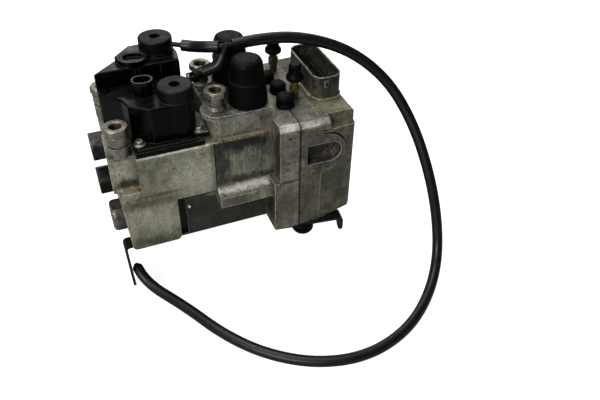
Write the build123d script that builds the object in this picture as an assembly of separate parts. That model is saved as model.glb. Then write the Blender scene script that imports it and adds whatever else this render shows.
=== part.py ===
"""Brake pressure modulator: valve blocks, two pump motors, reservoirs, coil bay, control unit and vent hose.

Everything is laid out from one datum, the lower left corner of the block's front face: x runs right
along the block, y runs back, z runs up. On export the parts move so that the origin is the middle of
the footprint, on the surface that the module stands on.
"""
import os
from math import atan2, cos, degrees, radians, sin

from build123d import *

# ---- Block stack, left to right ------------------------------------------------------------------------
LEFT_LENGTH = 73.8        # left valve block, datum to its joint with the middle block
MIDDLE_LENGTH = 49.1      # middle valve block
PLATE_THICKNESS = 17.1    # pump plate
COIL_BAY_THICKNESS = 18.6
CONTROL_UNIT_THICKNESS = 30.9
UPPER_OVERHANG = 6.0      # the left block's upper end passes the datum by this
END_TAPER = 4.0           # and falls back by this towards the rear
PLATE_HEEL = 4.8          # the pump plate's foot is wider by this
BODY_DEPTH = 90.0
BLOCK_HEIGHT = 88.8
SLAB_FRONT = -15.4        # front face of the pump plate and the coil bay
SLAB_BACK = BODY_DEPTH - 2.0
SLAB_TOP = BLOCK_HEIGHT + 9.9
UNDERSIDE = -4.0          # underside of the lower housing and the slabs
TOP_BEVEL = 3.3

# ---- Left block ----------------------------------------------------------------------------------------
LEG_WIDTH = 40.4          # the part of the left block that reaches down to z = 0
RECESS_HEIGHT = 42.8      # underside of the block beside that leg
LEG_DRAFT = 2.8           # the leg's left face leans out by this at the ledge
LEG_CORNER = 4.0
LEDGE_HEIGHT = 58.7
NOTCH_WIDTH = 14.1
NOTCH_DEPTH = 6.8
NOTCH_COVE = 3.0

# ---- Lower housing, middle block and its raised seat ---------------------------------------------------
LOWER_FRONT = 7.4
SLOT_WIDTH = 7.6          # dark slot between the leg and the lower housing's face
SLOT_DEPTH = 4.0
LIP_FRONT = -9.4
LIP_BOTTOM = 30.2
LIP_TOP = 39.7
MIDDLE_FRONT = -0.1
HEEL_TOP = 46.0
SEAT_HEIGHT = 21.2        # raised seat over the middle block
SEAT_DEPTH = BODY_DEPTH - 14.0
SEAT_CORNER = 10.0
SEAT_DRAFT = 1.4          # the seat's front face falls back by this at its top
RIM_CENTRE = (82.0, 14.5)        # round rim of the seat under the front port
RIM_RADIUS = 13.0
RIM_HEIGHT = 3.6

# ---- Control unit --------------------------------------------------------------------------------------
UNIT_TOP = SLAB_TOP + 0.3
UNIT_WALL = 3.5
UNIT_FRONT_STEP = (-7.0, UNIT_TOP - 11.0)   # depth and height of the step along the top front edge
UNIT_TAPER = 5.3          # the underside rises by this towards the right end
UNIT_LEAN = 3.2           # the front face falls back by this towards the right end
SHROUD_X = (164.0, 188.5)
SHROUD_Y = (13.0, 74.0)
SHROUD_HEIGHT = 20.0
SHROUD_CORNER = 9.0
SHROUD_WALL = 1.2
PIN_PITCH = 5.0
PINS_PER_ROW = 10
PIN_SIZE = 1.6
PIN_CLEARANCE = 0.1
PIN_TOP = 10.0            # above the unit's top face
SLOT_X = (171.0, 182.0)   # slot in the unit's top for the pin carrier
SLOT_Y = (16.5, 70.5)
BOARD_X = 166.0
BOARD_THICKNESS = 1.6

# ---- Mounting ear on the coil bay ----------------------------------------------------------------------
EAR_CENTRE = (162.5, 67.6)       # x and z
EAR_RADIUS = 17.5
EAR_DEPTH = 13.0
EAR_GROOVE = 1.3
LUG_HEIGHT = 8.7          # the bay's strip over the unit's top front edge
LUG_REACH = 7.1
LUG_DEPTH = 8.4
POCKET_LEFT = 146.0
POCKET_HEIGHT = 18.5
POCKET_RIGHT = 176.3
POCKET_DEPTH = 10.0
EAR_HOLE = (169.0, 66.0)
EAR_HOLE_RADIUS = 2.75
DOWEL_HOLE = (131.7, 87.9)
DOWEL_RADIUS = 1.5
DOWEL_DEPTH = 8.0

# ---- Pumps ---------------------------------------------------------------------------------------------
LEFT_PUMP = (70.0, BODY_DEPTH - 21.0)      # x and y of the left motor shaft
RIGHT_PUMP = (129.0, SLAB_BACK - 35.0)
MOTOR_RADIUS = 17.5
LEFT_MOTOR_LENGTH = 46.0         # from the housing's underside to the end of the bearing boss
RIGHT_MOTOR_LENGTH = 32.0
BEARING_BOSS_RADIUS = 8.0
BEARING_BOSS_HEIGHT = 6.5
CASE_WALL = 1.4
CASE_CORNER = 4.0
FLANGE_RADIUS = 20.5
FLANGE_THICKNESS = 2.0
MAGNET_THICKNESS = 3.2
ROTOR_RADIUS = 11.6
SHAFT_RADIUS = 3.0
BEARING_CLEARANCE = 0.05
ECCENTRIC_RADIUS = 4.5
THROW = 0.8
CHAMBER_RADIUS = 5.6
CHAMBER_TOP = 20.0
SHAFT_TOP = 26.0
PUMP_HEIGHT = 13.0               # axis height of the pump pistons
PISTON_RADIUS = 4.0
PISTON_LENGTH = 4.0
PUMP_REACH = 15.0                # shaft axis to the inner face of the pump plug
PLUG_RADIUS = 5.0
FIT_CLEARANCE = 0.05

# ---- Control pistons and end plugs ---------------------------------------------------------------------
CONTROL_BORES = ((45.0, BLOCK_HEIGHT - 10.8), (45.0, 44.3))     # y and z
CONTROL_RADIUS = 6.0
CONTROL_BORE_END = 38.0
CONTROL_PISTON_LENGTH = 18.0
CONTROL_TRAVEL = 5.0
HEX_PLUG_FLATS = 21.6
HEX_PLUG_END = -14.0
PLUG_SPIGOT = 8.0
UPPER_SEAT = END_TAPER * 0.6 - UPPER_OVERHANG      # x of the end face behind the upper plug's rear edge
LOWER_SEAT = -LEG_DRAFT * 0.55                     # and of the leg's face behind the lower plug's foot
COVER_CENTRE = (22.0, 23.5)
COVER_RADIUS = 13.0
COVER_END = -10.8
COVER_SPIGOT_RADIUS = 9.0

# ---- Solenoid valves -----------------------------------------------------------------------------------
VALVES = ((26.0, 32.0), (26.0, 64.0), (64.0, 32.0), (64.0, 64.0))   # y and z
VALVE_NAMES = ("front_lower", "front_upper", "rear_lower", "rear_upper")
VALVE_RADIUS = 5.0
VALVE_DEPTH = 12.0
STEM_RADIUS = 3.2
STEM_LENGTH = 17.0
STEM_BORE = 2.1
PLUNGER_RADIUS = 2.05
PLUNGER_LENGTH = 9.0
COIL_RADIUS = 10.5
COIL_LENGTH = 12.5
BAY_WALL = 4.0
BAY_Y = (11.0, 79.0)
BAY_Z = (17.0, 79.0)

# ---- Ports, caps and bleeders --------------------------------------------------------------------------
PORT_RADIUS = 8.75
PORT_HOLE = 4.7
PORT_DEPTH = 10.0
PORT_SPIGOT = 5.5
PORT_SPIGOT_DEPTH = 10.0
LEFT_PORTS = {"port_front_left": (4.7, 13.2, 24.5), "port_rear_left": (5.0, 70.0, 27.2)}
SEAT_PORTS = {"port_front_middle": (82.0, 16.0, 16.2), "port_rear_middle": (82.0, 58.0, 17.0)}
SEAT_PORT_BASE = {"port_front_middle": 7.4, "port_rear_middle": 9.2}
CAPS = {"front_rubber_cap": (108.0, 17.0), "rear_rubber_cap": (107.0, 57.0)}
CAP_HEIGHT = 38.0
CAP_FOOT_RADIUS = 15.5
CAP_RIB_RADIUS = 14.2
CAP_TOP_RADIUS = 12.2
CAP_WALL = 2.2
BLEEDERS = {"front_bleed": (150.4, 24.6), "rear_bleed": (150.7, 74.0)}
BLEEDER_HEIGHT = 20.0
BLEEDER_SEAT = 3.5
BLEEDER_REACH = 9.0
BLEEDER_CAP_HEIGHT = 14.0
BLANKS = ((139.0, 16.5, 7.4, 10.5), (141.5, 39.0, 7.0, 9.0), (139.5, 57.5, 5.6, 9.5))   # x, y, radius, height

# ---- Reservoirs ----------------------------------------------------------------------------------------
RESERVOIR_WALL = 2.2
FLANGE_TOP = BLOCK_HEIGHT + 3.2
FRONT_TOP = BLOCK_HEIGHT + 34.2
REAR_TOP = BLOCK_HEIGHT + 46.7
RISER_HEIGHT = 4.5
TANK_EDGE = 1.3                  # rounding of the tanks' top edges
FRONT_WALLS = [(0.4, 51.6), (0.1, 45.9), (13.7, 30.3), (16.5, 20.5), (30.8, 9.6), (53.0, 9.4), (62.0, 22.0),
               (64.0, 51.6)]
FRONT_HOLLOW = [(4.5, 49.0), (4.5, 47.5), (16.6, 32.2), (19.2, 22.2), (32.0, 12.5), (50.0, 12.5),
                (59.0, 22.0),
                (61.0, 49.0)]
FRONT_FLANGE = [(14.6, 1.2), (67.5, 1.2), (67.5, 9.0), (72.6, 30.0), (72.6, 51.6), (14.6, 51.6)]
REAR_WALLS = [(-0.1, 53.0), (65.0, 53.0), (66.8, 68.0), (65.2, 84.0), (34.7, 84.0)]
REAR_HOLLOW = [(6.5, 55.5), (62.0, 55.5), (64.0, 68.0), (62.5, 81.5), (36.0, 81.5)]
REAR_FLANGE = [(12.0, 52.8), (72.0, 52.8), (72.0, 89.0), (5.0, 89.0), (5.0, 80.5), (14.0, 75.0)]
RISER_WALLS = [(18.2, 66.0), (23.0, 59.0), (40.0, 60.0), (42.0, 80.5), (31.0, 79.8)]
FRONT_CAP = (53.0, 21.5)
REAR_CAP = (52.0, 74.0)
RESERVOIR_CAP_RADIUS = 13.2
RESERVOIR_CAP_HEIGHT = 10.5
FRONT_NECK = 0.3
REAR_NECK = 2.0
CAP_SPIGOT_RADIUS = 8.0
CAP_SOCKET = 3.9
STUB_RADIUS = 1.9
STUB_LENGTH = 9.0
STUB_DROP = 5.4                  # stub axis below the cap's top
FRONT_STUB_ANGLE = 36.0
REAR_STUB_ANGLE = -34.0
FRONT_SENSOR = (31.5, 32.5)
REAR_SENSOR = (31.0, 61.8)
FRONT_SENSOR_RADIUS = 6.4
REAR_SENSOR_RADIUS = 7.6
SENSOR_OFFSET = 1.6              # half of the difference between the socket's length and its width
SENSOR_RIM = 1.6
SENSOR_ROD = 2.4
SENSOR_STEM = 4.0
FRONT_SENSOR_HEIGHT = 13.0
REAR_SENSOR_HEIGHT = 4.3
SENSOR_ANGLE = -8.0
RISER_MARGIN = 1.8               # wall of the rear tank's riser around the socket
FLOAT_RADIUS = 6.0
FLOAT_TRAVEL = 14.0
SCREW_RADIUS = 1.5
SCREW_REACH = 7.0
RESERVOIR_SCREWS = ((20.0, 12.7), (66.3, 14.4), (10.0, 85.5), (66.3, 84.0))
CORNER_PLATE = [(67.4, 24.0), (71.0, 41.0), (73.2, 38.0), (73.2, 10.6), (64.5, 10.6), (62.2, 12.5),
                (62.4, 16.0),
                (66.9, 18.9)]
CORNER_PLATE_THICKNESS = 1.0

# ---- Bracket, foot and hose ----------------------------------------------------------------------------
STRAP_THICKNESS = 2.2
STRAP_WIDTH = 12.0
STRAP_BEND = 4.0
STRAP_HOLE_RADIUS = 3.25
LEG_STRAP = (36.0, 12.0)         # inner end of the strap under the leg, on its middle line
LEG_STRAP_END = -7.0
LEG_LEAN = 1.5
LEG_BOTTOM = -50.0
LEG_STRAP_HOLE = 18.0            # from the strap's inner end
TAB_STRAP = (122.0, -7.4)        # inner end of the strap under the slabs
TAB_STRAP_END = (181.0, -15.4)
TAB_BOTTOM = -21.5
TAB_STRAP_HOLE = 7.0
REAR_STRAP = (156.0, 76.0)       # inner end of the strap under the coil bay, which runs to the front
REAR_STRAP_END = 44.0
REAR_STRAP_HOLE = 10.0
FOOT_CENTRE = (146.0, -9.6)
FOOT_RADIUS = 9.6
FOOT_HEIGHT = 10.0
TEE = (99.0, 38.0, 147.6)
TEE_RADIUS = 2.4
TEE_ARM = {"front": 6.9, "rear": 5.5, "vent": 5.0}
ARMS = {"front": (-0.52, -0.30, -0.80), "rear": (-0.86, 0.50, -0.10), "vent": (0.99, -0.04, 0.13)}
HOSE_RADIUS = 4.5
HOSE_ROUTE = ((104.0, 37.8, 148.25), (123.0, 37.0, 150.4), (160.0, 34.0, 147.5), (199.0, 25.0, 133.0),
              (228.0, 9.0, 108.0), (243.0, -13.0, 77.0), (250.0, -36.0, 43.0), (254.0, -55.0, 5.0),
              (250.0, -74.0, -31.0), (227.0, -100.0, -45.2), (192.0, -125.0, -45.4),
              (151.0, -136.0, -45.3), (111.0, -128.0, -45.4), (76.0, -105.0, -45.3), (50.0, -73.0, -45.4),
              (30.0, -35.0, -45.2), (3.5, 3.6, -43.0), (0.6, 10.9, -30.0))

JOINT_X = LEFT_LENGTH
PLATE_X = JOINT_X + MIDDLE_LENGTH
BAY_X = PLATE_X + PLATE_THICKNESS
UNIT_X = BAY_X + COIL_BAY_THICKNESS
RIGHT_END = UNIT_X + CONTROL_UNIT_THICKNESS
HEEL_X = PLATE_X - PLATE_HEEL
SEAT_TOP = BLOCK_HEIGHT + SEAT_HEIGHT
STRAP_TURN = atan2(TAB_STRAP_END[1] - TAB_STRAP[1], TAB_STRAP_END[0] - TAB_STRAP[0])
BASE_FRONT = TAB_STRAP_END[1] - STRAP_WIDTH / 2 * cos(STRAP_TURN)

ORIGIN = Vector((HEX_PLUG_END + RIGHT_END) / 2, (BASE_FRONT + BODY_DEPTH) / 2, LEG_BOTTOM)

parts = {}


# ---- Shared shapes -------------------------------------------------------------------------------------
def block(x, y, z):
    """A box between pairs of x, y and z."""
    centre = ((x[0] + x[1]) / 2, (y[0] + y[1]) / 2, (z[0] + z[1]) / 2)
    return Pos(*centre) * Box(x[1] - x[0], y[1] - y[0], z[1] - z[0])


def turned(*profile):
    """A solid of revolution about z from (radius, height) points."""
    return revolve(Plane.XZ * make_face(Polyline(*profile, close=True)), Axis.Z)


def rod(x, y, z, radius, length):
    """An upright cylinder standing on z."""
    return Pos(x, y, z) * Cylinder(radius, length, align=(Align.CENTER, Align.CENTER, Align.MIN))


def rod_x(x, y, z, radius, length):
    """A cylinder from x to the right."""
    return Pos(x, y, z) * Rot(0, 90, 0) * Cylinder(radius, length,
                                                   align=(Align.CENTER, Align.CENTER, Align.MIN))


def rod_y(x, y, z, radius, length):
    """A cylinder from y to the back."""
    return Pos(x, y, z) * Rot(-90, 0, 0) * Cylinder(radius, length,
                                                    align=(Align.CENTER, Align.CENTER, Align.MIN))


def front_plate(points, y0, y1):
    """A prism with its outline in x and z, from y0 back to y1."""
    outline = Polyline(*[(x, y0, z) for x, z in points], close=True)
    return extrude(make_face(outline), amount=y1 - y0, dir=(0, 1, 0))


def top_plate(points, z0, z1):
    """A prism with its outline in x and y, from z0 up to z1."""
    outline = Polyline(*[(x, y, z0) for x, y in points], close=True)
    return extrude(make_face(outline), amount=z1 - z0, dir=(0, 0, 1))


def cove(x0, x1, y, z, radius):
    """The concave fillet between a wall at y and a floor at z, from x0 to x1."""
    corner = block((x0, x1), (y - radius, y), (z, z + radius))
    return corner - rod_x(x0 - 1, y - radius, z + radius, radius, x1 - x0 + 2)


def oval(radius, offset, z0, z1, angle):
    """An upright oval bar: two round ends and a flat between them."""
    ends = rod(-offset, 0, z0, radius, z1 - z0) + rod(offset, 0, z0, radius, z1 - z0)
    return Rot(0, 0, angle) * (ends + block((-offset, offset), (-radius, radius), (z0, z1)))


def hex_prism(flats, height):
    """A hexagonal prism standing on z = 0, with its corners along x."""
    return extrude(RegularPolygon(flats / 2, 6, major_radius=False), height)


def rounded_hex(flats, corner_radius, height, bevel):
    """A hexagon head whose corners are turned down and bevelled at both ends."""
    blank = turned((0, 0), (corner_radius - bevel, 0), (corner_radius, bevel),
                   (corner_radius, height - bevel),
                   (corner_radius - bevel, height), (0, height))
    return hex_prism(flats, height) & blank


# ---- Left valve block: machined aluminium, stepped down to a leg at its left end -----------------------
def pump_cuts(centre, back):
    """Shaft chamber, top journal, pump bore and plug bore of one pump."""
    x, y = centre
    chamber = rod(x, y, UNDERSIDE - 1, CHAMBER_RADIUS, CHAMBER_TOP - UNDERSIDE + 1)
    journal = rod(x, y, CHAMBER_TOP - 1, SHAFT_RADIUS + BEARING_CLEARANCE, SHAFT_TOP - CHAMBER_TOP + 1.5)
    bore = rod_y(x, y, PUMP_HEIGHT, PISTON_RADIUS + FIT_CLEARANCE, PUMP_REACH)
    plug_bore = rod_y(x, y + PUMP_REACH, PUMP_HEIGHT, PLUG_RADIUS + FIT_CLEARANCE, back - y - PUMP_REACH + 1)
    return [chamber, journal, bore, plug_bore]


def left_valve_block():
    leg_outline = [(0, 0), (LEG_WIDTH, 0), (LEG_WIDTH, LEDGE_HEIGHT), (-LEG_DRAFT, LEDGE_HEIGHT)]
    leg = front_plate(leg_outline, 0, BODY_DEPTH)
    leg = fillet(leg.edges().filter_by(Axis.Y).sort_by(Axis.Z)[:2], LEG_CORNER)
    body = leg + block((LEG_WIDTH, JOINT_X), (0, BODY_DEPTH), (RECESS_HEIGHT, BLOCK_HEIGHT))
    body += block((NOTCH_WIDTH, LEG_WIDTH), (0, BODY_DEPTH), (LEDGE_HEIGHT, BLOCK_HEIGHT))
    body += top_plate([(-UPPER_OVERHANG, NOTCH_DEPTH), (NOTCH_WIDTH, NOTCH_DEPTH), (NOTCH_WIDTH, BODY_DEPTH),
                       (END_TAPER - UPPER_OVERHANG, BODY_DEPTH)], LEDGE_HEIGHT - 2, BLOCK_HEIGHT)
    body += cove(-LEG_DRAFT, NOTCH_WIDTH, NOTCH_DEPTH, LEDGE_HEIGHT, NOTCH_COVE)
    for y, z in CONTROL_BORES:
        body -= rod_x(-UPPER_OVERHANG - 1, y, z, CONTROL_RADIUS, CONTROL_BORE_END + UPPER_OVERHANG + 1)
    body -= rod_x(-10, *COVER_CENTRE, COVER_SPIGOT_RADIUS + FIT_CLEARANCE, 10 + PLUG_SPIGOT)
    for x, y, _ in LEFT_PORTS.values():
        body -= rod(x, y, BLOCK_HEIGHT - PORT_SPIGOT_DEPTH, PORT_SPIGOT + FIT_CLEARANCE,
                    PORT_SPIGOT_DEPTH + 1)
    for x, y in RESERVOIR_SCREWS:
        body -= rod(x, y, BLOCK_HEIGHT - SCREW_REACH, SCREW_RADIUS + FIT_CLEARANCE, SCREW_REACH + 1)
    return body


parts["left_valve_block"] = left_valve_block()


# ---- Lower housing: dark casting in the recess, holds the left pump ------------------------------------
def lower_housing():
    body = block((LEG_WIDTH, HEEL_X), (LOWER_FRONT, BODY_DEPTH), (UNDERSIDE, RECESS_HEIGHT))
    body -= block((LEG_WIDTH - 1, LEG_WIDTH + SLOT_WIDTH), (LOWER_FRONT - 1, LOWER_FRONT + SLOT_DEPTH),
                  (UNDERSIDE + 2, RECESS_HEIGHT + 1))
    for cut in pump_cuts(LEFT_PUMP, BODY_DEPTH):
        body -= cut
    return body


parts["lower_housing"] = lower_housing()


# ---- Middle valve block: front lip with a coved root, raised seat with one round corner -------------------
def middle_valve_block():
    back = BODY_DEPTH
    cove_radius = MIDDLE_FRONT - LIP_FRONT
    profile = [(LIP_FRONT, LIP_BOTTOM), (LIP_FRONT, LIP_TOP), (MIDDLE_FRONT, LIP_TOP),
               (MIDDLE_FRONT, BLOCK_HEIGHT),
               (back, BLOCK_HEIGHT), (back, RECESS_HEIGHT), (LOWER_FRONT, RECESS_HEIGHT),
               (LOWER_FRONT, LIP_BOTTOM)]
    outline = Polyline(*[(JOINT_X, y, z) for y, z in profile], close=True)
    body = extrude(make_face(outline), amount=MIDDLE_LENGTH, dir=(1, 0, 0))
    body += cove(JOINT_X, PLATE_X, MIDDLE_FRONT, LIP_TOP, cove_radius)
    body -= block((HEEL_X, PLATE_X + 1), (LIP_FRONT - 1, back + 1), (LIP_BOTTOM - 1, HEEL_TOP))
    seat = block((JOINT_X, PLATE_X), (0, SEAT_DEPTH), (BLOCK_HEIGHT, SEAT_TOP))
    seat = fillet(seat.edges().filter_by(Axis.Z).sort_by(Axis.X)[:2].sort_by(Axis.Y)[0], SEAT_CORNER)
    draft = Polyline((JOINT_X - 1, 0, BLOCK_HEIGHT), (JOINT_X - 1, SEAT_DRAFT, SEAT_TOP),
                     (JOINT_X - 1, -1, SEAT_TOP),
                     close=True)
    seat -= extrude(make_face(draft), amount=MIDDLE_LENGTH + 2, dir=(1, 0, 0))
    body += seat + rod(*RIM_CENTRE, SEAT_TOP - RIM_HEIGHT, RIM_RADIUS, RIM_HEIGHT)
    for x, y, _ in SEAT_PORTS.values():
        body -= rod(x, y, SEAT_TOP - PORT_SPIGOT_DEPTH, PORT_SPIGOT + FIT_CLEARANCE, PORT_SPIGOT_DEPTH + 1)
    return body


parts["middle_valve_block"] = middle_valve_block()


# ---- Pump plate: the slab that holds the right pump and the valve cartridges ---------------------------
def slab(x0, x1):
    """A full-height slab with the bevel along its top front edge."""
    body = block((x0, x1), (SLAB_FRONT, SLAB_BACK), (UNDERSIDE, SLAB_TOP))
    edge = body.edges().filter_by(Axis.X).sort_by(Axis.Z)[-2:].sort_by(Axis.Y)[0]
    return chamfer(edge, TOP_BEVEL)


def pump_plate():
    body = slab(PLATE_X, BAY_X) + block((HEEL_X, PLATE_X), (SLAB_FRONT, SLAB_BACK), (UNDERSIDE, HEEL_TOP))
    body -= rod_y(DOWEL_HOLE[0], SLAB_FRONT - 1, DOWEL_HOLE[1], DOWEL_RADIUS, DOWEL_DEPTH + 1)
    for y, z in VALVES:
        body -= rod_x(BAY_X - VALVE_DEPTH - FIT_CLEARANCE, y, z, VALVE_RADIUS + FIT_CLEARANCE,
                      VALVE_DEPTH + 1)
    for cut in pump_cuts(RIGHT_PUMP, SLAB_BACK):
        body -= cut
    return body


parts["pump_plate"] = pump_plate()


# ---- Coil bay: the slab with the D-shaped mounting ear, hollow behind for the coils --------------------
def ear_outline(margin):
    """The ear's face in x and z, grown by a margin: a round end that runs into the slab."""
    x, z = EAR_CENTRE
    grown = EAR_RADIUS + margin
    root = UNIT_X - 2
    heel = make_face(Polyline((root, SLAB_FRONT, z - 20 - margin), (x + 3, SLAB_FRONT, z - grown + 0.3),
                              (x + 3, SLAB_FRONT, z + grown - 0.3), (root, SLAB_FRONT, z + 19 + margin),
                              close=True))
    disc = Pos(x, SLAB_FRONT, z) * Rot(90, 0, 0) * Circle(grown)
    return heel, disc


def ear(margin, depth):
    heel, disc = ear_outline(margin)
    return extrude(heel, amount=depth, dir=(0, 1, 0)) + extrude(disc, amount=depth, dir=(0, 1, 0))


def lug(margin, depth):
    """The short strip of the bay's front that laps over the control unit at the top."""
    strip = block((BAY_X + 1, UNIT_X + LUG_REACH + margin), (SLAB_FRONT, SLAB_FRONT + depth),
                  (SLAB_TOP - LUG_HEIGHT - margin, SLAB_TOP + margin))
    return strip


def coil_bay():
    body = slab(BAY_X, UNIT_X)
    top_strip = lug(0, LUG_DEPTH)
    edge = top_strip.edges().filter_by(Axis.X).sort_by(Axis.Z)[-2:].sort_by(Axis.Y)[0]
    body += chamfer(edge, TOP_BEVEL)
    body += ear(0, EAR_DEPTH)
    pocket_end = POCKET_RIGHT - POCKET_HEIGHT / 2
    z0 = EAR_CENTRE[1] - POCKET_HEIGHT / 2
    z1 = EAR_CENTRE[1] + POCKET_HEIGHT / 2
    depth = (SLAB_FRONT - 1, SLAB_FRONT + POCKET_DEPTH)
    body -= block((POCKET_LEFT, pocket_end), depth, (z0, z1))
    body -= rod_y(pocket_end, depth[0], EAR_CENTRE[1], POCKET_HEIGHT / 2, POCKET_DEPTH + 1)
    body -= rod_y(EAR_HOLE[0], SLAB_FRONT, EAR_HOLE[1], EAR_HOLE_RADIUS, EAR_DEPTH + 1)
    body -= block((BAY_X + BAY_WALL, UNIT_X + 1), BAY_Y, BAY_Z)
    for y, z in VALVES:
        body -= rod_x(BAY_X - 1, y, z, STEM_RADIUS + FIT_CLEARANCE, BAY_WALL + 2)
    for x, y in BLEEDERS.values():
        body -= rod(x, y, SLAB_TOP - BLEEDER_REACH, BLEEDER_SEAT + FIT_CLEARANCE, BLEEDER_REACH + 1)
    return body


parts["coil_bay"] = coil_bay()


# ---- Control unit: cast housing with the plug shroud on top --------------------------------------------
def rounded_block(x, y, z, corner):
    body = block(x, y, z)
    return fillet(body.edges().filter_by(Axis.Z), corner)


def control_unit():
    corner = 2.0
    plan = top_plate([(UNIT_X, SLAB_FRONT + 0.2), (RIGHT_END - corner, SLAB_FRONT + UNIT_LEAN),
                      (RIGHT_END, SLAB_FRONT + UNIT_LEAN + corner), (RIGHT_END, BODY_DEPTH - corner),
                      (RIGHT_END - corner, BODY_DEPTH), (UNIT_X, BODY_DEPTH)], UNDERSIDE, UNIT_TOP)
    front = front_plate([(UNIT_X, UNDERSIDE + 0.5), (RIGHT_END - corner, UNDERSIDE + UNIT_TAPER),
                         (RIGHT_END, UNDERSIDE + UNIT_TAPER + corner), (RIGHT_END, UNIT_TOP - corner),
                         (RIGHT_END - corner, UNIT_TOP), (UNIT_X, UNIT_TOP)], SLAB_FRONT - 1, BODY_DEPTH + 1)
    body = plan & front
    step_y, step_z = UNIT_FRONT_STEP
    body -= block((UNIT_X - 1, RIGHT_END + 1), (SLAB_FRONT - 1, step_y), (step_z, UNIT_TOP + 1))
    body += cove(UNIT_X, RIGHT_END - corner, step_y, step_z, 3.0)
    body -= ear(EAR_GROOVE, EAR_DEPTH + 0.3)
    body -= lug(EAR_GROOVE, LUG_DEPTH + 0.3)
    inner_right = RIGHT_END - UNIT_WALL
    body -= block((UNIT_X - 1, inner_right), (2.0, BODY_DEPTH - UNIT_WALL), (8.0, UNIT_TOP - 6.0))
    for y in (6.0, BODY_DEPTH - UNIT_WALL - 4.0):
        for z in (12.0, UNIT_TOP - 10.0):
            body += rod_x(BOARD_X + BOARD_THICKNESS, y, z, 3.0, inner_right - BOARD_X - BOARD_THICKNESS + 1)
    tube = rounded_block(SHROUD_X, SHROUD_Y, (UNIT_TOP - 0.5, UNIT_TOP + SHROUD_HEIGHT), SHROUD_CORNER)
    inner_x = (SHROUD_X[0] + SHROUD_WALL, SHROUD_X[1] - SHROUD_WALL)
    inner_y = (SHROUD_Y[0] + SHROUD_WALL, SHROUD_Y[1] - SHROUD_WALL)
    tube -= rounded_block(inner_x, inner_y, (UNIT_TOP, UNIT_TOP + SHROUD_HEIGHT + 1),
                          SHROUD_CORNER - SHROUD_WALL)
    body += tube
    body += block((inner_x[0] - 0.5, inner_x[0] + 2.0), (30.0, 34.0),
                  (UNIT_TOP - 0.5, UNIT_TOP + SHROUD_HEIGHT - 4))
    body += block((171.5, 175.0), (SHROUD_Y[0] - 1.6, SHROUD_Y[0] + 0.8), (UNIT_TOP + 12, UNIT_TOP + 17))
    body -= block(SLOT_X, SLOT_Y, (UNIT_TOP - 8, UNIT_TOP + 1))
    body -= rod_y(EAR_HOLE[0], SLAB_FRONT, EAR_HOLE[1], 2.0, EAR_DEPTH + 2.5)
    return body


parts["control_unit"] = control_unit()

parts["circuit_board"] = block((BOARD_X, BOARD_X + BOARD_THICKNESS), (4.0, BODY_DEPTH - UNIT_WALL - 1),
                               (10.0, UNIT_TOP - 8.0))


def pin_places():
    middle_y = sum(SLOT_Y) / 2
    for row in (-2.6, 2.6):
        for i in range(PINS_PER_ROW):
            yield sum(SLOT_X) / 2 + row, middle_y + (i - (PINS_PER_ROW - 1) / 2) * PIN_PITCH


def connector_insert():
    """Black pin carrier: a floor in the shroud with a foot through the housing's slot."""
    gap = 0.1
    inner_x = (SHROUD_X[0] + SHROUD_WALL + gap, SHROUD_X[1] - SHROUD_WALL - gap)
    inner_y = (SHROUD_Y[0] + SHROUD_WALL + gap, SHROUD_Y[1] - SHROUD_WALL - gap)
    body = rounded_block(inner_x, inner_y, (UNIT_TOP, UNIT_TOP + 4.0), SHROUD_CORNER - SHROUD_WALL - gap)
    body -= block((inner_x[0] - 1, inner_x[0] + 2.4), (29.6, 34.4), (UNIT_TOP - 1, UNIT_TOP + 5))
    body += block((SLOT_X[0] + gap, SLOT_X[1] - gap), (SLOT_Y[0] + gap, SLOT_Y[1] - gap),
                  (UNIT_TOP - 6, UNIT_TOP + 1))
    hole = PIN_SIZE / 2 + PIN_CLEARANCE
    for x, y in pin_places():
        body -= block((x - hole / 2, x + hole / 2), (y - hole, y + hole), (UNIT_TOP - 7, UNIT_TOP + 5))
    return body


def connector_pins():
    half = PIN_SIZE / 2
    return [block((x - half / 2, x + half / 2), (y - half, y + half), (UNIT_TOP - 9, UNIT_TOP + PIN_TOP))
            for x, y in pin_places()]


parts["connector_insert"] = connector_insert()
parts["connector_pins"] = connector_pins()


# ---- Motors: deep drawn steel cans, magnets and armatures with an eccentric on the shaft ---------------
def motor_case(centre, length):
    """A drawn can with a flange at its mouth and a bearing boss at its closed end."""
    top = UNDERSIDE
    bottom = top - length
    floor = bottom + BEARING_BOSS_HEIGHT
    r = MOTOR_RADIUS
    c = CASE_CORNER
    inner = r - CASE_WALL
    outside = turned((0, bottom), (BEARING_BOSS_RADIUS, bottom), (BEARING_BOSS_RADIUS, floor), (r - c, floor),
                     (r - 0.3 * c, floor + 0.3 * c), (r, floor + c), (r, top - 2), (FLANGE_RADIUS, top - 2),
                     (FLANGE_RADIUS, top), (0, top))
    inside = turned((0, floor + CASE_WALL), (inner - c, floor + CASE_WALL), (inner, floor + c),
                    (inner, top + 1),
                    (0, top + 1))
    boss_hole = rod(0, 0, bottom + CASE_WALL, SHAFT_RADIUS + BEARING_CLEARANCE, BEARING_BOSS_HEIGHT + 0.5)
    return Pos(*centre, 0) * (outside - inside - boss_hole)


def motor_magnets(centre, length):
    """Two arc magnets against the can's wall."""
    outer = MOTOR_RADIUS - CASE_WALL
    z0 = UNDERSIDE - length + BEARING_BOSS_HEIGHT + 5
    z1 = UNDERSIDE - 8
    ring = turned((outer - MAGNET_THICKNESS, z0), (outer, z0), (outer, z1), (outer - MAGNET_THICKNESS, z1))
    gap = block((-5, 5), (-outer - 1, outer + 1), (z0 - 1, z1 + 1))
    return [Pos(*centre, 0) * piece for piece in (ring - gap).solids()]


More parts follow.
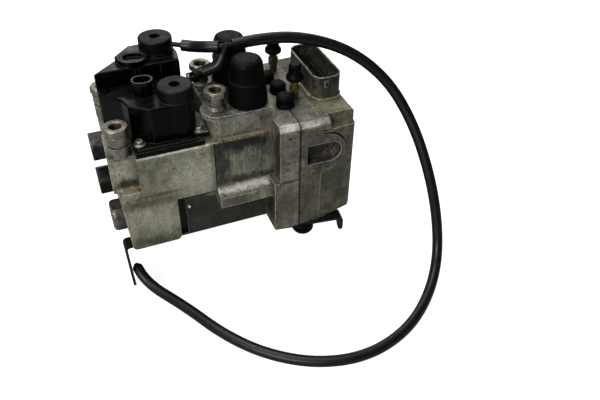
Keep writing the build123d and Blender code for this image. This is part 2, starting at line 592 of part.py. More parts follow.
def armature(centre, length):
    """Shaft, lamination stack, commutator and the pump eccentric, pressed together as one piece."""
    bottom = UNDERSIDE - length + CASE_WALL + 0.2
    s = SHAFT_RADIUS
    stack0 = UNDERSIDE - length + BEARING_BOSS_HEIGHT + 5
    stack1 = UNDERSIDE - 13
    body = turned((0, bottom), (s, bottom), (s, stack0 - 3), (s + 3, stack0), (ROTOR_RADIUS, stack0),
                  (ROTOR_RADIUS, stack1), (s + 3, stack1), (s + 3, stack1 + 2), (s + 1.6, stack1 + 2),
                  (s + 1.6, UNDERSIDE - 3), (s, UNDERSIDE - 3), (s, SHAFT_TOP), (0, SHAFT_TOP))
    body += Pos(0, -THROW, PUMP_HEIGHT) * Cylinder(ECCENTRIC_RADIUS, 9.0)
    for i in range(9):
        slot = block((ROTOR_RADIUS - 2.5, ROTOR_RADIUS + 1), (-0.8, 0.8), (stack0 - 1, stack1 + 1))
        body -= Rot(0, 0, 40 * i) * slot
    return Pos(*centre, 0) * body


def pump_piston(centre):
    x, y = centre
    foot = ECCENTRIC_RADIUS + THROW + 0.2
    return rod_y(x, y + foot, PUMP_HEIGHT, PISTON_RADIUS, PISTON_LENGTH)


def pump_plug(centre, back):
    x, y = centre
    plug = rod_y(x, y + PUMP_REACH, PUMP_HEIGHT, PLUG_RADIUS, back - y - PUMP_REACH)
    key = Pos(x, back - 2, PUMP_HEIGHT) * Rot(-90, 0, 0) * hex_prism(5.0, 4)
    return plug - key


parts["left_motor_case"] = motor_case(LEFT_PUMP, LEFT_MOTOR_LENGTH)
parts["right_motor_case"] = motor_case(RIGHT_PUMP, RIGHT_MOTOR_LENGTH)
parts["motor_magnets"] = (motor_magnets(LEFT_PUMP, LEFT_MOTOR_LENGTH)
                          + motor_magnets(RIGHT_PUMP, RIGHT_MOTOR_LENGTH))
parts["left_armature"] = armature(LEFT_PUMP, LEFT_MOTOR_LENGTH)
parts["right_armature"] = armature(RIGHT_PUMP, RIGHT_MOTOR_LENGTH)
parts["left_pump_piston"] = pump_piston(LEFT_PUMP)
parts["right_pump_piston"] = pump_piston(RIGHT_PUMP)
parts["pump_plugs"] = [pump_plug(LEFT_PUMP, BODY_DEPTH), pump_plug(RIGHT_PUMP, SLAB_BACK)]


# ---- Control pistons, their springs and the plugs on the left end --------------------------------------
def coil_spring(turns, length, radius, wire):
    """A compression spring standing on z = 0, with its wire inside the given length."""
    rise = length - 2 * wire
    path = Helix(pitch=rise / turns, height=rise, radius=radius)
    start = Plane(origin=path @ 0, z_dir=path % 0)
    return Pos(0, 0, wire) * sweep(start * Circle(wire), path=path)


def control_piston(y, z):
    start = CONTROL_BORE_END - 2 - CONTROL_PISTON_LENGTH
    body = rod_x(start, y, z, CONTROL_RADIUS - FIT_CLEARANCE, CONTROL_PISTON_LENGTH)
    groove = rod_x(start + 3, y, z, CONTROL_RADIUS + 1, 2) - rod_x(start + 2, y, z, CONTROL_RADIUS - 1.2, 4)
    waist = rod_x(start + 7, y, z, CONTROL_RADIUS + 1, 7) - rod_x(start + 6, y, z, CONTROL_RADIUS - 2, 9)
    nose = rod_x(start + CONTROL_PISTON_LENGTH - 1, y, z, CONTROL_RADIUS - 3, 3)
    return body - groove - waist + nose


def hex_plug(y, z, seat):
    """A screw plug: hexagon head with a flat on top, and a spigot in the bore."""
    head = rounded_hex(HEX_PLUG_FLATS, HEX_PLUG_FLATS * 0.56, seat - HEX_PLUG_END, 0.8)
    head = Pos(HEX_PLUG_END, y, z) * Rot(0, 90, 0) * head
    return head + rod_x(seat - 1, y, z, CONTROL_RADIUS - FIT_CLEARANCE, PLUG_SPIGOT + 1)


def piston_cover():
    y, z = COVER_CENTRE
    width = -COVER_END
    cap = turned((0, 0), (COVER_RADIUS - 3, 0), (COVER_RADIUS - 0.9, 0.9), (COVER_RADIUS, 3),
                 (COVER_RADIUS, width),
                 (COVER_SPIGOT_RADIUS, width), (COVER_SPIGOT_RADIUS, width + PLUG_SPIGOT - 1),
                 (0, width + PLUG_SPIGOT - 1))
    cap -= block((-COVER_RADIUS - 1, -COVER_RADIUS + 2.2), (-20, 20), (-1, width))
    body = Pos(COVER_END, y, z) * Rot(0, 90, 0) * cap
    return body - LEG_SKIN


LEG_SKIN = parts["left_valve_block"]
SEATS = (UPPER_SEAT, LOWER_SEAT)
for name, (y, z), seat in zip(("upper", "lower"), CONTROL_BORES, SEATS):
    parts[name + "_control_piston"] = control_piston(y, z)
    parts[name + "_end_plug"] = hex_plug(y, z, seat) - LEG_SKIN
parts["piston_cover"] = piston_cover()


def control_spring(y, z, seat):
    start = seat + PLUG_SPIGOT
    length = CONTROL_BORE_END - 2 - CONTROL_PISTON_LENGTH - CONTROL_TRAVEL - start
    return Pos(start, y, z) * Rot(0, 90, 0) * coil_spring(4, length - 0.3, CONTROL_RADIUS - 1.6, 0.5)


def pump_spring(centre):
    x, y = centre
    travelled = ECCENTRIC_RADIUS + THROW + 0.2 + PISTON_LENGTH + 2 * THROW
    length = PUMP_REACH - travelled
    spring = coil_spring(3, length - 0.2, 2.6, 0.4)
    return Pos(x, y + PUMP_REACH - length + 0.2, PUMP_HEIGHT) * Rot(-90, 0, 0) * spring


parts["return_springs"] = [control_spring(*CONTROL_BORES[0], SEATS[0]),
                           control_spring(*CONTROL_BORES[1], SEATS[1]),
                           pump_spring(LEFT_PUMP), pump_spring(RIGHT_PUMP)]


# ---- Solenoid valves: cartridge and stem, plunger inside, coil around the stem -------------------------
def valve_body(y, z):
    body = turned((0, -VALVE_DEPTH), (3.0, -VALVE_DEPTH), (VALVE_RADIUS, -VALVE_DEPTH + 3), (VALVE_RADIUS, 0),
                  (STEM_RADIUS, 0), (STEM_RADIUS, STEM_LENGTH), (0, STEM_LENGTH))
    body -= rod(0, 0, 2.0, STEM_BORE, STEM_LENGTH - 3.5)
    return Pos(BAY_X, y, z) * Rot(0, 90, 0) * body


def valve_plunger(y, z):
    return rod_x(BAY_X + 2.2, y, z, PLUNGER_RADIUS, PLUNGER_LENGTH)


def solenoid_coil(y, z):
    spool = turned((STEM_RADIUS + 0.1, 0), (COIL_RADIUS, 0), (COIL_RADIUS, 1.6), (COIL_RADIUS - 1, 1.6),
                   (COIL_RADIUS - 1, COIL_LENGTH - 1.6), (COIL_RADIUS, COIL_LENGTH - 1.6),
                   (COIL_RADIUS, COIL_LENGTH),
                   (STEM_RADIUS + 0.1, COIL_LENGTH))
    return Pos(BAY_X + BAY_WALL, y, z) * Rot(0, 90, 0) * spool


parts["valve_bodies"] = [valve_body(y, z) for y, z in VALVES]
parts["solenoid_coils"] = [solenoid_coil(y, z) for y, z in VALVES]
for name, (y, z) in zip(VALVE_NAMES, VALVES):
    parts[name + "_plunger"] = valve_plunger(y, z)


# ---- Ports: plated steel unions screwed into the top ---------------------------------------------------
def left_port(height):
    """A tall union: base ring, plain barrel between two grooves, and a bevelled hexagon collar."""
    r = PORT_RADIUS
    stem = turned((0, -PORT_SPIGOT_DEPTH), (PORT_SPIGOT, -PORT_SPIGOT_DEPTH), (PORT_SPIGOT, 0), (r - 0.4, 0),
                  (r - 0.4, height - 16.0), (r - 2.2, height - 15.2), (r - 2.2, height - 13.8),
                  (r - 0.3, height - 13.0),
                  (r - 0.3, height - 6.4), (r - 1.4, height - 5.8), (r - 1.4, height - 5.0),
                  (0, height - 5.0))
    collar = rounded_hex(2 * r - 0.4, r + 0.5, 5.4, 0.8)
    return stem + Pos(0, 0, height - 5.4) * collar - port_mouth(height)


def seat_port(height, base):
    """A necked union: base flange, thin neck with a groove, and a short hexagon collar."""
    r = PORT_RADIUS
    stem = turned((0, -PORT_SPIGOT_DEPTH), (PORT_SPIGOT, -PORT_SPIGOT_DEPTH), (PORT_SPIGOT, 0), (base, 0),
                  (base, 1.0), (base - 0.5, 1.5), (r - 2.6, 1.8), (r - 3.0, 2.4), (r - 3.0, height - 6.0),
                  (r - 3.6, height - 5.6), (r - 3.6, height - 5.0), (0, height - 5.0))
    collar = rounded_hex(2 * r - 1.6, r, 5.0, 0.9)
    return stem + Pos(0, 0, height - 5.0) * collar - port_mouth(height)


def port_mouth(height):
    """The threaded hole with its countersink."""
    return rod(0, 0, height - PORT_DEPTH, PORT_HOLE, PORT_DEPTH + 1) + turned(
        (0, height - 0.7), (PORT_HOLE, height - 0.7), (PORT_HOLE + 0.8, height + 0.1), (0, height + 0.1))


for name, (x, y, height) in LEFT_PORTS.items():
    parts[name] = Pos(x, y, BLOCK_HEIGHT) * left_port(height)
for name, (x, y, height) in SEAT_PORTS.items():
    parts[name] = Pos(x, y, SEAT_TOP) * seat_port(height, SEAT_PORT_BASE[name])


# ---- Tall rubber caps over their spigots ---------------------------------------------------------------
def rubber_cap():
    foot, rib, top, h = CAP_FOOT_RADIUS, CAP_RIB_RADIUS, CAP_TOP_RADIUS, CAP_HEIGHT
    outside = turned((0, 0), (foot - 0.6, 0), (foot, 1.2), (foot - 0.3, 8), (rib - 0.5, 17.5), (rib, 18.4),
                     (rib, 19.6),
                     (rib - 0.8, 20.4), (top + 0.8, 26), (top, h - 4.4), (top - 1.2, h - 2.0),
                     (top - 3.6, h - 0.6),
                     (top - 6, h - 0.3), (5.2, h - 0.3), (5.0, h), (0, h))
    inside = turned((0, -1), (top - CAP_WALL, -1), (top - CAP_WALL, h - 5), (top - CAP_WALL - 2, h - 3),
                    (0, h - 3))
    return outside - inside


def cap_spigot():
    r = CAP_TOP_RADIUS - CAP_WALL - 0.3
    return turned((0, 0), (r, 0), (r, 4), (r - 1, 5), (r - 1, 24), (r - 2.5, 25.5), (r - 2.5, 30), (0, 30))


for name, (x, y) in CAPS.items():
    parts[name] = Pos(x, y, SEAT_TOP) * rubber_cap()
parts["cap_spigots"] = [Pos(x, y, SEAT_TOP) * cap_spigot() for x, y in CAPS.values()]


# ---- Bleed screws, their rubber caps and the squat blanking caps ---------------------------------------
def bleed_screw():
    h = BLEEDER_HEIGHT
    body = turned((0, -BLEEDER_REACH), (1.2, -BLEEDER_REACH), (BLEEDER_SEAT, -BLEEDER_REACH + 3),
                  (BLEEDER_SEAT, 0),
                  (3.3, 0), (3.3, h - 4), (2.4, h - 3), (2.4, h + 2), (3.1, h + 3.6), (2.0, h + 7),
                  (0, h + 7))
    body += Pos(0, 0, 7.0) * rounded_hex(8.0, 4.4, 6.0, 0.4)
    return body - rod(0, 0, h - 4, 1.0, 14)


def bleed_cap():
    h = BLEEDER_CAP_HEIGHT
    r = 5.2
    outside = turned((0, 0), (r + 1.5, 0), (r + 1.9, 0.8), (r + 1.9, 2.6), (r + 0.6, 4.6), (r, 6.0),
                     (r - 0.4, h - 1.4),
                     (r - 1.4, h), (0, h))
    inside = turned((0, -1), (3.25, -1), (3.25, 6.4), (2.2, 9.4), (0, 9.4))
    return outside - inside


def blanking_cap(radius, height):
    rib = radius - 0.9
    return turned((0, 0), (radius - 0.4, 0), (radius, 0.5), (radius, 2.4), (rib, 3.0), (rib, 3.8),
                  (radius - 0.2, 4.3),
                  (radius - 0.4, height - 2.2), (radius - 1.6, height - 0.6), (radius - 3.2, height),
                  (0, height))


for name, (x, y) in BLEEDERS.items():
    parts[name + "_screw"] = Pos(x, y, SLAB_TOP) * bleed_screw()
    parts[name + "_cap"] = Pos(x, y, SLAB_TOP + BLEEDER_HEIGHT - 2.2) * bleed_cap()
parts["blanking_caps"] = [Pos(x, y, SLAB_TOP) * blanking_cap(r, h) for x, y, r, h in BLANKS]


# ---- Reservoirs: black moulded tanks with a flange, screw-in vent caps and level sensors ---------------
def tank(outline, boss, top, neck):
    """A closed moulding with rounded top edges, and a round boss under the cap."""
    body = top_plate(outline, FLANGE_TOP, top)
    body = fillet([e for e in body.edges() if e.center().Z > top - 0.01], TANK_EDGE)
    return body + rod(*boss, FLANGE_TOP, RESERVOIR_CAP_RADIUS, top + neck - FLANGE_TOP)


def front_reservoir():
    body = tank(FRONT_WALLS, FRONT_CAP, FRONT_TOP, FRONT_NECK)
    body -= top_plate(FRONT_HOLLOW, FLANGE_TOP + 1, FRONT_TOP - RESERVOIR_WALL)
    body += top_plate(FRONT_FLANGE, BLOCK_HEIGHT, FLANGE_TOP + 1)
    left, right = FRONT_FLANGE[0][0], FRONT_FLANGE[1][0]
    body += block((left + 3, right - 3), (4.4, 5.4), (FLANGE_TOP, FLANGE_TOP + 1.8))
    return finish_tank(body, FRONT_CAP, FRONT_SENSOR, FRONT_TOP)


def rear_reservoir():
    body = tank(REAR_WALLS, REAR_CAP, REAR_TOP, REAR_NECK)
    riser = top_plate(RISER_WALLS, REAR_TOP - 1, REAR_TOP + RISER_HEIGHT)
    riser += around(REAR_SENSOR, REAR_SENSOR_RADIUS + RISER_MARGIN, REAR_TOP - 1, REAR_TOP + RISER_HEIGHT)
    riser -= rod(*REAR_CAP, REAR_TOP - 1, RESERVOIR_CAP_RADIUS + 0.4, RISER_HEIGHT + 2)
    body += riser
    body -= around(REAR_SENSOR, REAR_SENSOR_RADIUS + 0.4, REAR_TOP, REAR_TOP + RISER_HEIGHT + 1)
    body -= top_plate(REAR_HOLLOW, FLANGE_TOP + 1, REAR_TOP - RESERVOIR_WALL)
    body += top_plate(REAR_FLANGE, BLOCK_HEIGHT, FLANGE_TOP + 1)
    return finish_tank(body, REAR_CAP, REAR_SENSOR, REAR_TOP)


def around(sensor, radius, z0, z1):
    """The sensor socket's oval at its place on a tank."""
    return Pos(*sensor, 0) * oval(radius, SENSOR_OFFSET, z0, z1, SENSOR_ANGLE)


def finish_tank(body, cap, sensor, top):
    """Mouth for the cap, seat for the sensor, holes for the flange screws."""
    body -= rod(*cap, top - 8, CAP_SPIGOT_RADIUS + FIT_CLEARANCE, 12)
    body -= rod(*sensor, top - 8, SENSOR_STEM + FIT_CLEARANCE, 20)
    for x, y in RESERVOIR_SCREWS:
        body -= rod(x, y, BLOCK_HEIGHT - 1, SCREW_RADIUS + 0.2, 6)
        body -= rod(x, y, FLANGE_TOP + 1, 4.9, 6)
    return body


parts["front_reservoir"] = front_reservoir()
parts["rear_reservoir"] = rear_reservoir()
plate = top_plate(CORNER_PLATE, FLANGE_TOP + 1, FLANGE_TOP + 1 + CORNER_PLATE_THICKNESS)
parts["flange_corner_plate"] = plate - rod(*RESERVOIR_SCREWS[1], FLANGE_TOP, SCREW_RADIUS + 0.2, 4)


def reservoir_cap(angle):
    """A vent cap: disc with a hexagon socket, spigot below, and a hose stub from its side."""
    r, h = RESERVOIR_CAP_RADIUS, RESERVOIR_CAP_HEIGHT
    body = turned((0, -7.0), (CAP_SPIGOT_RADIUS, -7.0), (CAP_SPIGOT_RADIUS, 0), (r - 0.3, 0), (r, 0.3),
                  (r, h - 1.2),
                  (r - 0.4, h - 0.4), (r - 1.3, h), (0, h))
    body -= Pos(0, 0, h - 5.0) * hex_prism(2 * CAP_SOCKET, 6)
    stub = Rot(0, 0, angle) * (rod_x(r - 2, 0, h - STUB_DROP, STUB_RADIUS, STUB_LENGTH + 2)
                               + rod_x(r + STUB_LENGTH - 1.5, 0, h - STUB_DROP, STUB_RADIUS + 0.4, 1.5))
    return body + stub


parts["front_reservoir_cap"] = Pos(*FRONT_CAP, FRONT_TOP + FRONT_NECK) * reservoir_cap(FRONT_STUB_ANGLE)
parts["rear_reservoir_cap"] = Pos(*REAR_CAP, REAR_TOP + REAR_NECK) * reservoir_cap(REAR_STUB_ANGLE)


def level_sensor(radius, height, depth):
    """Plug socket above, stem with the float's stops inside the tank."""
    angle = SENSOR_ANGLE
    body = oval(radius - 1.0, SENSOR_OFFSET, 0, height, angle)
    body += oval(radius, SENSOR_OFFSET, height - 2.0, height, angle)
    body -= oval(radius - SENSOR_RIM, SENSOR_OFFSET, height - min(8.5, height - 1.5), height + 1, angle)
    body += rod(0, 0, -depth, SENSOR_ROD, depth)
    body += rod(0, 0, -6, SENSOR_STEM, 6.5)
    body += rod(0, 0, -depth, SENSOR_STEM, 2.0)
    for x in (-2.2, 2.2):
        body += Rot(0, 0, angle) * block((x - 0.4, x + 0.4), (-0.8, 0.8), (0.5, height - 2.5))
    return body


def sensor_float():
    ring = turned((SENSOR_ROD + 0.15, 0), (FLOAT_RADIUS, 0), (FLOAT_RADIUS, 6.0), (SENSOR_ROD + 0.15, 6.0))
    return ring


FRONT_SENSOR_DEPTH = FRONT_TOP - FLANGE_TOP - 2.0
REAR_SENSOR_DEPTH = REAR_TOP - FLANGE_TOP - 2.0
parts["front_level_sensor"] = Pos(*FRONT_SENSOR, FRONT_TOP) * level_sensor(
    FRONT_SENSOR_RADIUS, FRONT_SENSOR_HEIGHT, FRONT_SENSOR_DEPTH)
parts["rear_level_sensor"] = Pos(*REAR_SENSOR, REAR_TOP) * level_sensor(
    REAR_SENSOR_RADIUS, REAR_SENSOR_HEIGHT, REAR_SENSOR_DEPTH)
parts["front_float"] = Pos(*FRONT_SENSOR, FLANGE_TOP + 4.2) * sensor_float()
parts["rear_float"] = Pos(*REAR_SENSOR, FLANGE_TOP + 4.2) * sensor_float()


def reservoir_screw(x, y):
    """Washer-head screw with a hexagon socket."""
    head = turned((0, 0), (4.6, 0), (4.6, 1.0), (3.2, 1.5), (3.0, 3.4), (2.4, 4.0), (0, 4.0))
    head -= Pos(0, 0, 2.2) * hex_prism(3.0, 3)
    lift = CORNER_PLATE_THICKNESS if (x, y) == RESERVOIR_SCREWS[1] else 0
    reach = SCREW_REACH + 2 + lift
    return Pos(x, y, FLANGE_TOP + 1 + lift) * (head + rod(0, 0, -reach, SCREW_RADIUS, reach + 0.2))


parts["reservoir_screws"] = [reservoir_screw(x, y) for x, y in RESERVOIR_SCREWS]


# ---- Bracket straps and buffer foot --------------------------------------------------------------------
def bent_strap(run, drop, lean, hole):
    """A steel strap along x with its far end bent down, a rounded tip and one hole."""
    t = STRAP_THICKNESS
    outline = Polyline((0, 0, 0), (run, 0, 0), (run - lean, 0, -drop), (run - lean - t, 0, -drop),
                       (run - t, 0, -t),
                       (0, 0, -t), close=True)
    strap = extrude(make_face(outline), amount=STRAP_WIDTH, dir=(0, 1, 0))
    across = strap.edges().filter_by(Axis.Y)
    strap = fillet([e for e in across if abs(e.center().X - run) < 0.01 and abs(e.center().Z) < 0.01],
                   STRAP_BEND)
    across = strap.edges().filter_by(Axis.Y)
    strap = fillet([e for e in across if abs(e.center().X - run + t) < 0.01 and abs(e.center().Z + t) < 0.01],
                   STRAP_BEND - t)
    tips = [e for e in strap.edges() if e.center().Z < -drop + 0.01 and abs(e.length - t) < 0.01]
    strap = fillet(tips, STRAP_WIDTH / 2 - 0.05)
    strap -= rod(hole, STRAP_WIDTH / 2, -t - 1, STRAP_HOLE_RADIUS, t + 2)
    return Pos(0, -STRAP_WIDTH / 2, 0) * strap


tab_run = Vector(TAB_STRAP_END[0] - TAB_STRAP[0], TAB_STRAP_END[1] - TAB_STRAP[1]).length
leg_strap = bent_strap(LEG_STRAP[0] - LEG_STRAP_END, -LEG_BOTTOM, LEG_LEAN, LEG_STRAP_HOLE)
tab_strap = bent_strap(tab_run, UNDERSIDE - TAB_BOTTOM, 0, TAB_STRAP_HOLE)
parts["left_bracket"] = Pos(*LEG_STRAP, 0) * Rot(0, 0, 180) * leg_strap
rear_strap = bent_strap(REAR_STRAP[1] - REAR_STRAP_END, UNDERSIDE - LEG_BOTTOM, 0, REAR_STRAP_HOLE)
parts["right_bracket"] = [Pos(*TAB_STRAP, UNDERSIDE) * Rot(0, 0, degrees(STRAP_TURN)) * tab_strap,
                          Pos(*REAR_STRAP, UNDERSIDE) * Rot(0, 0, -90) * rear_strap]


def foot():
    """Rubber buffer: a squat drum with a rounded lower rim."""
    r, h = FOOT_RADIUS, FOOT_HEIGHT
    return turned((0, -h), (r - 3.6, -h), (r - 1.4, -h + 0.9), (r - 0.3, -h + 2.6), (r, -h + 4.8),
                  (r, -0.8), (r - 0.8, 0),
                  (0, 0))


parts["buffer_foot"] = Pos(*FOOT_CENTRE, UNDERSIDE - STRAP_THICKNESS) * foot()


# ---- Vent tee, its two branch hoses and the long vent hose ---------------------------------------------
def stub_tip(cap, top, angle):
    """The outer end of a reservoir cap's stub."""
    reach = RESERVOIR_CAP_RADIUS + STUB_LENGTH
    x = cap[0] + reach * cos(radians(angle))
    y = cap[1] + reach * sin(radians(angle))
    return Vector(x, y, top + RESERVOIR_CAP_HEIGHT - STUB_DROP)


def tube(points, radius, bore):
    """A hose along straight runs joined by the largest smooth arcs."""
    places = [Vector(*p) for p in points]
    radii = []
    for before, corner, after in zip(places, places[1:], places[2:]):
        arriving = corner - before
        leaving = after - corner
        half_turn = radians(arriving.get_angle(leaving)) / 2
        radii.append(0.45 * min(arriving.length, leaving.length) / (sin(half_turn) / cos(half_turn)))
    path = FilletPolyline(*places, radius=radii)
    start = Plane(origin=path @ 0, z_dir=path % 0)
    section = start * Circle(radius)
    if bore:
        section -= start * Circle(bore)
    return sweep(section, path=path)


tee_centre = Vector(*TEE)
front_tip = stub_tip(FRONT_CAP, FRONT_TOP + FRONT_NECK, FRONT_STUB_ANGLE)
rear_tip = stub_tip(REAR_CAP, REAR_TOP + REAR_NECK, REAR_STUB_ANGLE)


def vent_tee():
    body = Pos(*TEE) * Sphere(TEE_RADIUS + 0.8)
    for arm, direction in ARMS.items():
        along = Plane(origin=TEE, z_dir=direction)
        body += along * Cylinder(TEE_RADIUS, TEE_ARM[arm], align=(Align.CENTER, Align.CENTER, Align.MIN))
    return body


parts["vent_tee"] = vent_tee()


def arm_end(name):
    return tee_centre + Vector(*ARMS[name]).normalized() * TEE_ARM[name]


def branch(name, tip, angle):
    """A short hose from a cap stub's tip to the tee's arm, face to face with both."""
    end = arm_end(name)
    out = Vector(cos(radians(angle)), sin(radians(angle)), 0)
    back = Vector(*ARMS[name]).normalized()
    span = (end - tip).length
    return tube([tip, tip + out * span * 0.3, end + back * span * 0.3, end], HOSE_RADIUS, 0)


parts["front_branch_hose"] = branch("front", front_tip, FRONT_STUB_ANGLE)
parts["rear_branch_hose"] = branch("rear", rear_tip, REAR_STUB_ANGLE)
parts["vent_hose"] = tube(HOSE_ROUTE, HOSE_RADIUS, 0)


def hose_end_plug():
    """Push-in stopper that holds the hose's end against the strap's leg."""
    end = Vector(*HOSE_ROUTE[-1])
    inward = (end - Vector(*HOSE_ROUTE[-2])).normalized()
    plane = Plane(origin=end, z_dir=inward)
    return plane * turned((0, 0), (HOSE_RADIUS - 0.3, 0), (HOSE_RADIUS - 0.9, 1.6), (2.2, 2.0), (2.0, 3.4),
                          (0, 3.4))


parts["hose_end_plug"] = hose_end_plug()


# ---- Export --------------------------------------------------------------------------------------------
os.makedirs("parts", exist_ok=True)
for node, shape in parts.items():
    solids = shape if isinstance(shape, list) else shape.solids()
    placed = [Pos(*(-ORIGIN)) * solid for solid in solids]
    export_step(Compound(children=placed) if len(placed) > 1 else placed[0], f"parts/{node}.step")
print(len(parts), "nodes")
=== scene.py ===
from math import radians

import bmesh
import bpy
import numpy as np
from mathutils import Euler, Matrix, Vector


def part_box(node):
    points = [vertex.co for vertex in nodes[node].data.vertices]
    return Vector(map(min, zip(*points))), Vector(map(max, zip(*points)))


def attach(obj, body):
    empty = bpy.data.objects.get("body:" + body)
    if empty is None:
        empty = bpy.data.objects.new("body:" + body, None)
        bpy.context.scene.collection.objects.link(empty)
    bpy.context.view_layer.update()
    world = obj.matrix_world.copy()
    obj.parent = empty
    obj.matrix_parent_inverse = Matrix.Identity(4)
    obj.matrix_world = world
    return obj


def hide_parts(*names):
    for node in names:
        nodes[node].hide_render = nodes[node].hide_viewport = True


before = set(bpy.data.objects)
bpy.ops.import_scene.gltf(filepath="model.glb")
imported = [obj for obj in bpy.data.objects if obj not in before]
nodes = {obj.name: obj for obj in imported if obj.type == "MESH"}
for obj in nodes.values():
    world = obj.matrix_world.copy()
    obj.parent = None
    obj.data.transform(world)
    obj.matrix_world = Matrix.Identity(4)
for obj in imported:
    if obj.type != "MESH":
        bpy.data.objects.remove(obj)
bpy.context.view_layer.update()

# The datum is the lower left corner of the block's front face. Places below are millimetres from it.
UPPER_OVERHANG = 6.0          # the block's end stands out over its leg by this
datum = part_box("left_valve_block")[0] + Vector((UPPER_OVERHANG, 0, 0)) / 1000


def at(x, y, z):
    """A place in the frame, in metres, from millimetres off the datum."""
    return datum + Vector((x, y, z)) / 1000


# ---- Camera --------------------------------------------------------------------------------------
# It looks at the long side of the block from over its front left corner, 40 degrees down, and is held
# a little crooked. The shift only centres the module and its hose.
CAMERA_PLACE = (-26.70, -397.18, 378.30)
HEADING = 66.688              # degrees from +X towards +Y
TILT = -39.909
ROLL = 1.290
SENSOR_WIDTH = 36
FOCAL_LENGTH = 38.77
SHIFT = (0.0045, -0.0096)
view = bpy.data.cameras.new("camera")
camera = bpy.data.objects.new("camera", view)
bpy.context.scene.collection.objects.link(camera)
level = Euler((radians(90 + TILT), 0, radians(HEADING - 90))).to_matrix()
camera.matrix_world = (level @ Matrix.Rotation(radians(ROLL), 3, "Z")).to_4x4()
camera.location = at(*CAMERA_PLACE)
view.sensor_width = SENSOR_WIDTH
view.lens = FOCAL_LENGTH
view.shift_x, view.shift_y = SHIFT
bpy.context.scene.camera = camera


# ---- Floor and surroundings ----------------------------------------------------------------------
# A wide sheet of white paper in a white room. The camera sees both evenly white, while the other rays
# meet a light grey floor and a dim room, so the metal has something dark to mirror.
FLOOR_REACH = 3.0             # metres each way
FLOOR_GLOW = 0.9
ROOM_DIMNESS = 0.09
ROOM_SEEN = 1.1


def colour(code):
    """A linear colour from an sRGB hex code."""
    channels = [int(code[i:i + 2], 16) / 255 for i in (0, 2, 4)]
    return [c / 12.92 if c <= 0.04045 else ((c + 0.055) / 1.055) ** 2.4 for c in channels] + [1]


def add(tree, kind, out=0, **settings):
    """Adds a shader node and returns one of its outputs. A setting is an input by name, an input by number
    (in0, in1), or a property of the node, and a value that is another node's output is linked."""
    node = tree.nodes.new(kind)
    for key, value in settings.items():
        numbered = key[:2] == "in" and key[2:].isdigit()
        socket = node.inputs[int(key[2:])] if numbered else node.inputs.get(key.replace("_", " "))
        if socket is None:
            setattr(node, key, value)
        elif isinstance(value, bpy.types.NodeSocket):
            tree.links.new(value, socket)
        else:
            socket.default_value = value
    return node.outputs[out]


floor_mesh = bpy.data.meshes.new("floor")
floor_corners = [(-FLOOR_REACH, -FLOOR_REACH, 0), (FLOOR_REACH, -FLOOR_REACH, 0),
                 (FLOOR_REACH, FLOOR_REACH, 0), (-FLOOR_REACH, FLOOR_REACH, 0)]
floor_mesh.from_pydata(floor_corners, [], [(0, 1, 2, 3)])
floor = bpy.data.objects.new("floor", floor_mesh)
bpy.context.scene.collection.objects.link(floor)

# Matt white paper: glows evenly white to the camera, and gives back grey, soft light to everything else.
paper = bpy.data.materials.new("matt_white_paper")
paper.use_nodes = True
floor_mesh.materials.append(paper)
tree = paper.node_tree
tree.nodes["Principled BSDF"].inputs["Base Color"].default_value = colour("aeaeac")
tree.nodes["Principled BSDF"].inputs["Roughness"].default_value = 0.9
glow = add(tree, "ShaderNodeEmission", Color=colour("ffffff"), Strength=FLOOR_GLOW)
shade = add(tree, "ShaderNodeBsdfDiffuse", Color=colour("c9c9c7"))
shown = add(tree, "ShaderNodeMixShader", in0=add(tree, "ShaderNodeLightPath", "Is Camera Ray"),
            in1=tree.nodes["Principled BSDF"].outputs[0],
            in2=add(tree, "ShaderNodeAddShader", in0=glow, in1=shade))
tree.links.new(shown, tree.nodes["Material Output"].inputs["Surface"])

room = bpy.data.worlds.new("white_room")
room.use_nodes = True
tree = room.node_tree
tree.nodes["Background"].inputs["Color"].default_value = colour("e9eef2")
tree.nodes["Background"].inputs["Strength"].default_value = ROOM_DIMNESS
shown = add(tree, "ShaderNodeMixShader", in0=add(tree, "ShaderNodeLightPath", "Is Camera Ray"),
            in1=tree.nodes["Background"].outputs[0],
            in2=add(tree, "ShaderNodeBackground", Color=colour("ffffff"), Strength=ROOM_SEEN))
tree.links.new(shown, tree.nodes["World Output"].inputs["Surface"])
bpy.context.scene.world = room
bpy.context.scene.view_settings.view_transform = "Standard"


# ---- Lights --------------------------------------------------------------------------------------
# Three soft boxes: a large one overhead, the main one from the front left, and a thin one behind that
# draws bright lines on the far edges. Each is (name, place from the target in m, size, watts, tint).
LIGHT_TARGET = at(95, 40, 60)
LIGHTS = [("overhead", (-0.20, 0.15, 1.1), (0.9, 0.6), 9.0, "ffffff"),
          ("left", (-1.0, -0.95, 0.75), (0.8, 0.5), 15.0, "fffdf6"),
          ("back", (0.45, 1.2, 0.8), (1.0, 0.4), 5.0, "ffffff")]
for name, offset, size, power, tint in LIGHTS:
    lamp = bpy.data.lights.new(name, "AREA")
    lamp.shape = "RECTANGLE"
    lamp.size, lamp.size_y = size
    lamp.energy = power
    lamp.color = colour(tint)[:3]
    holder = bpy.data.objects.new(name, lamp)
    holder.location = LIGHT_TARGET + Vector(offset)
    holder.rotation_euler = (-Vector(offset)).to_track_quat("-Z", "Y").to_euler()
    bpy.context.scene.collection.objects.link(holder)
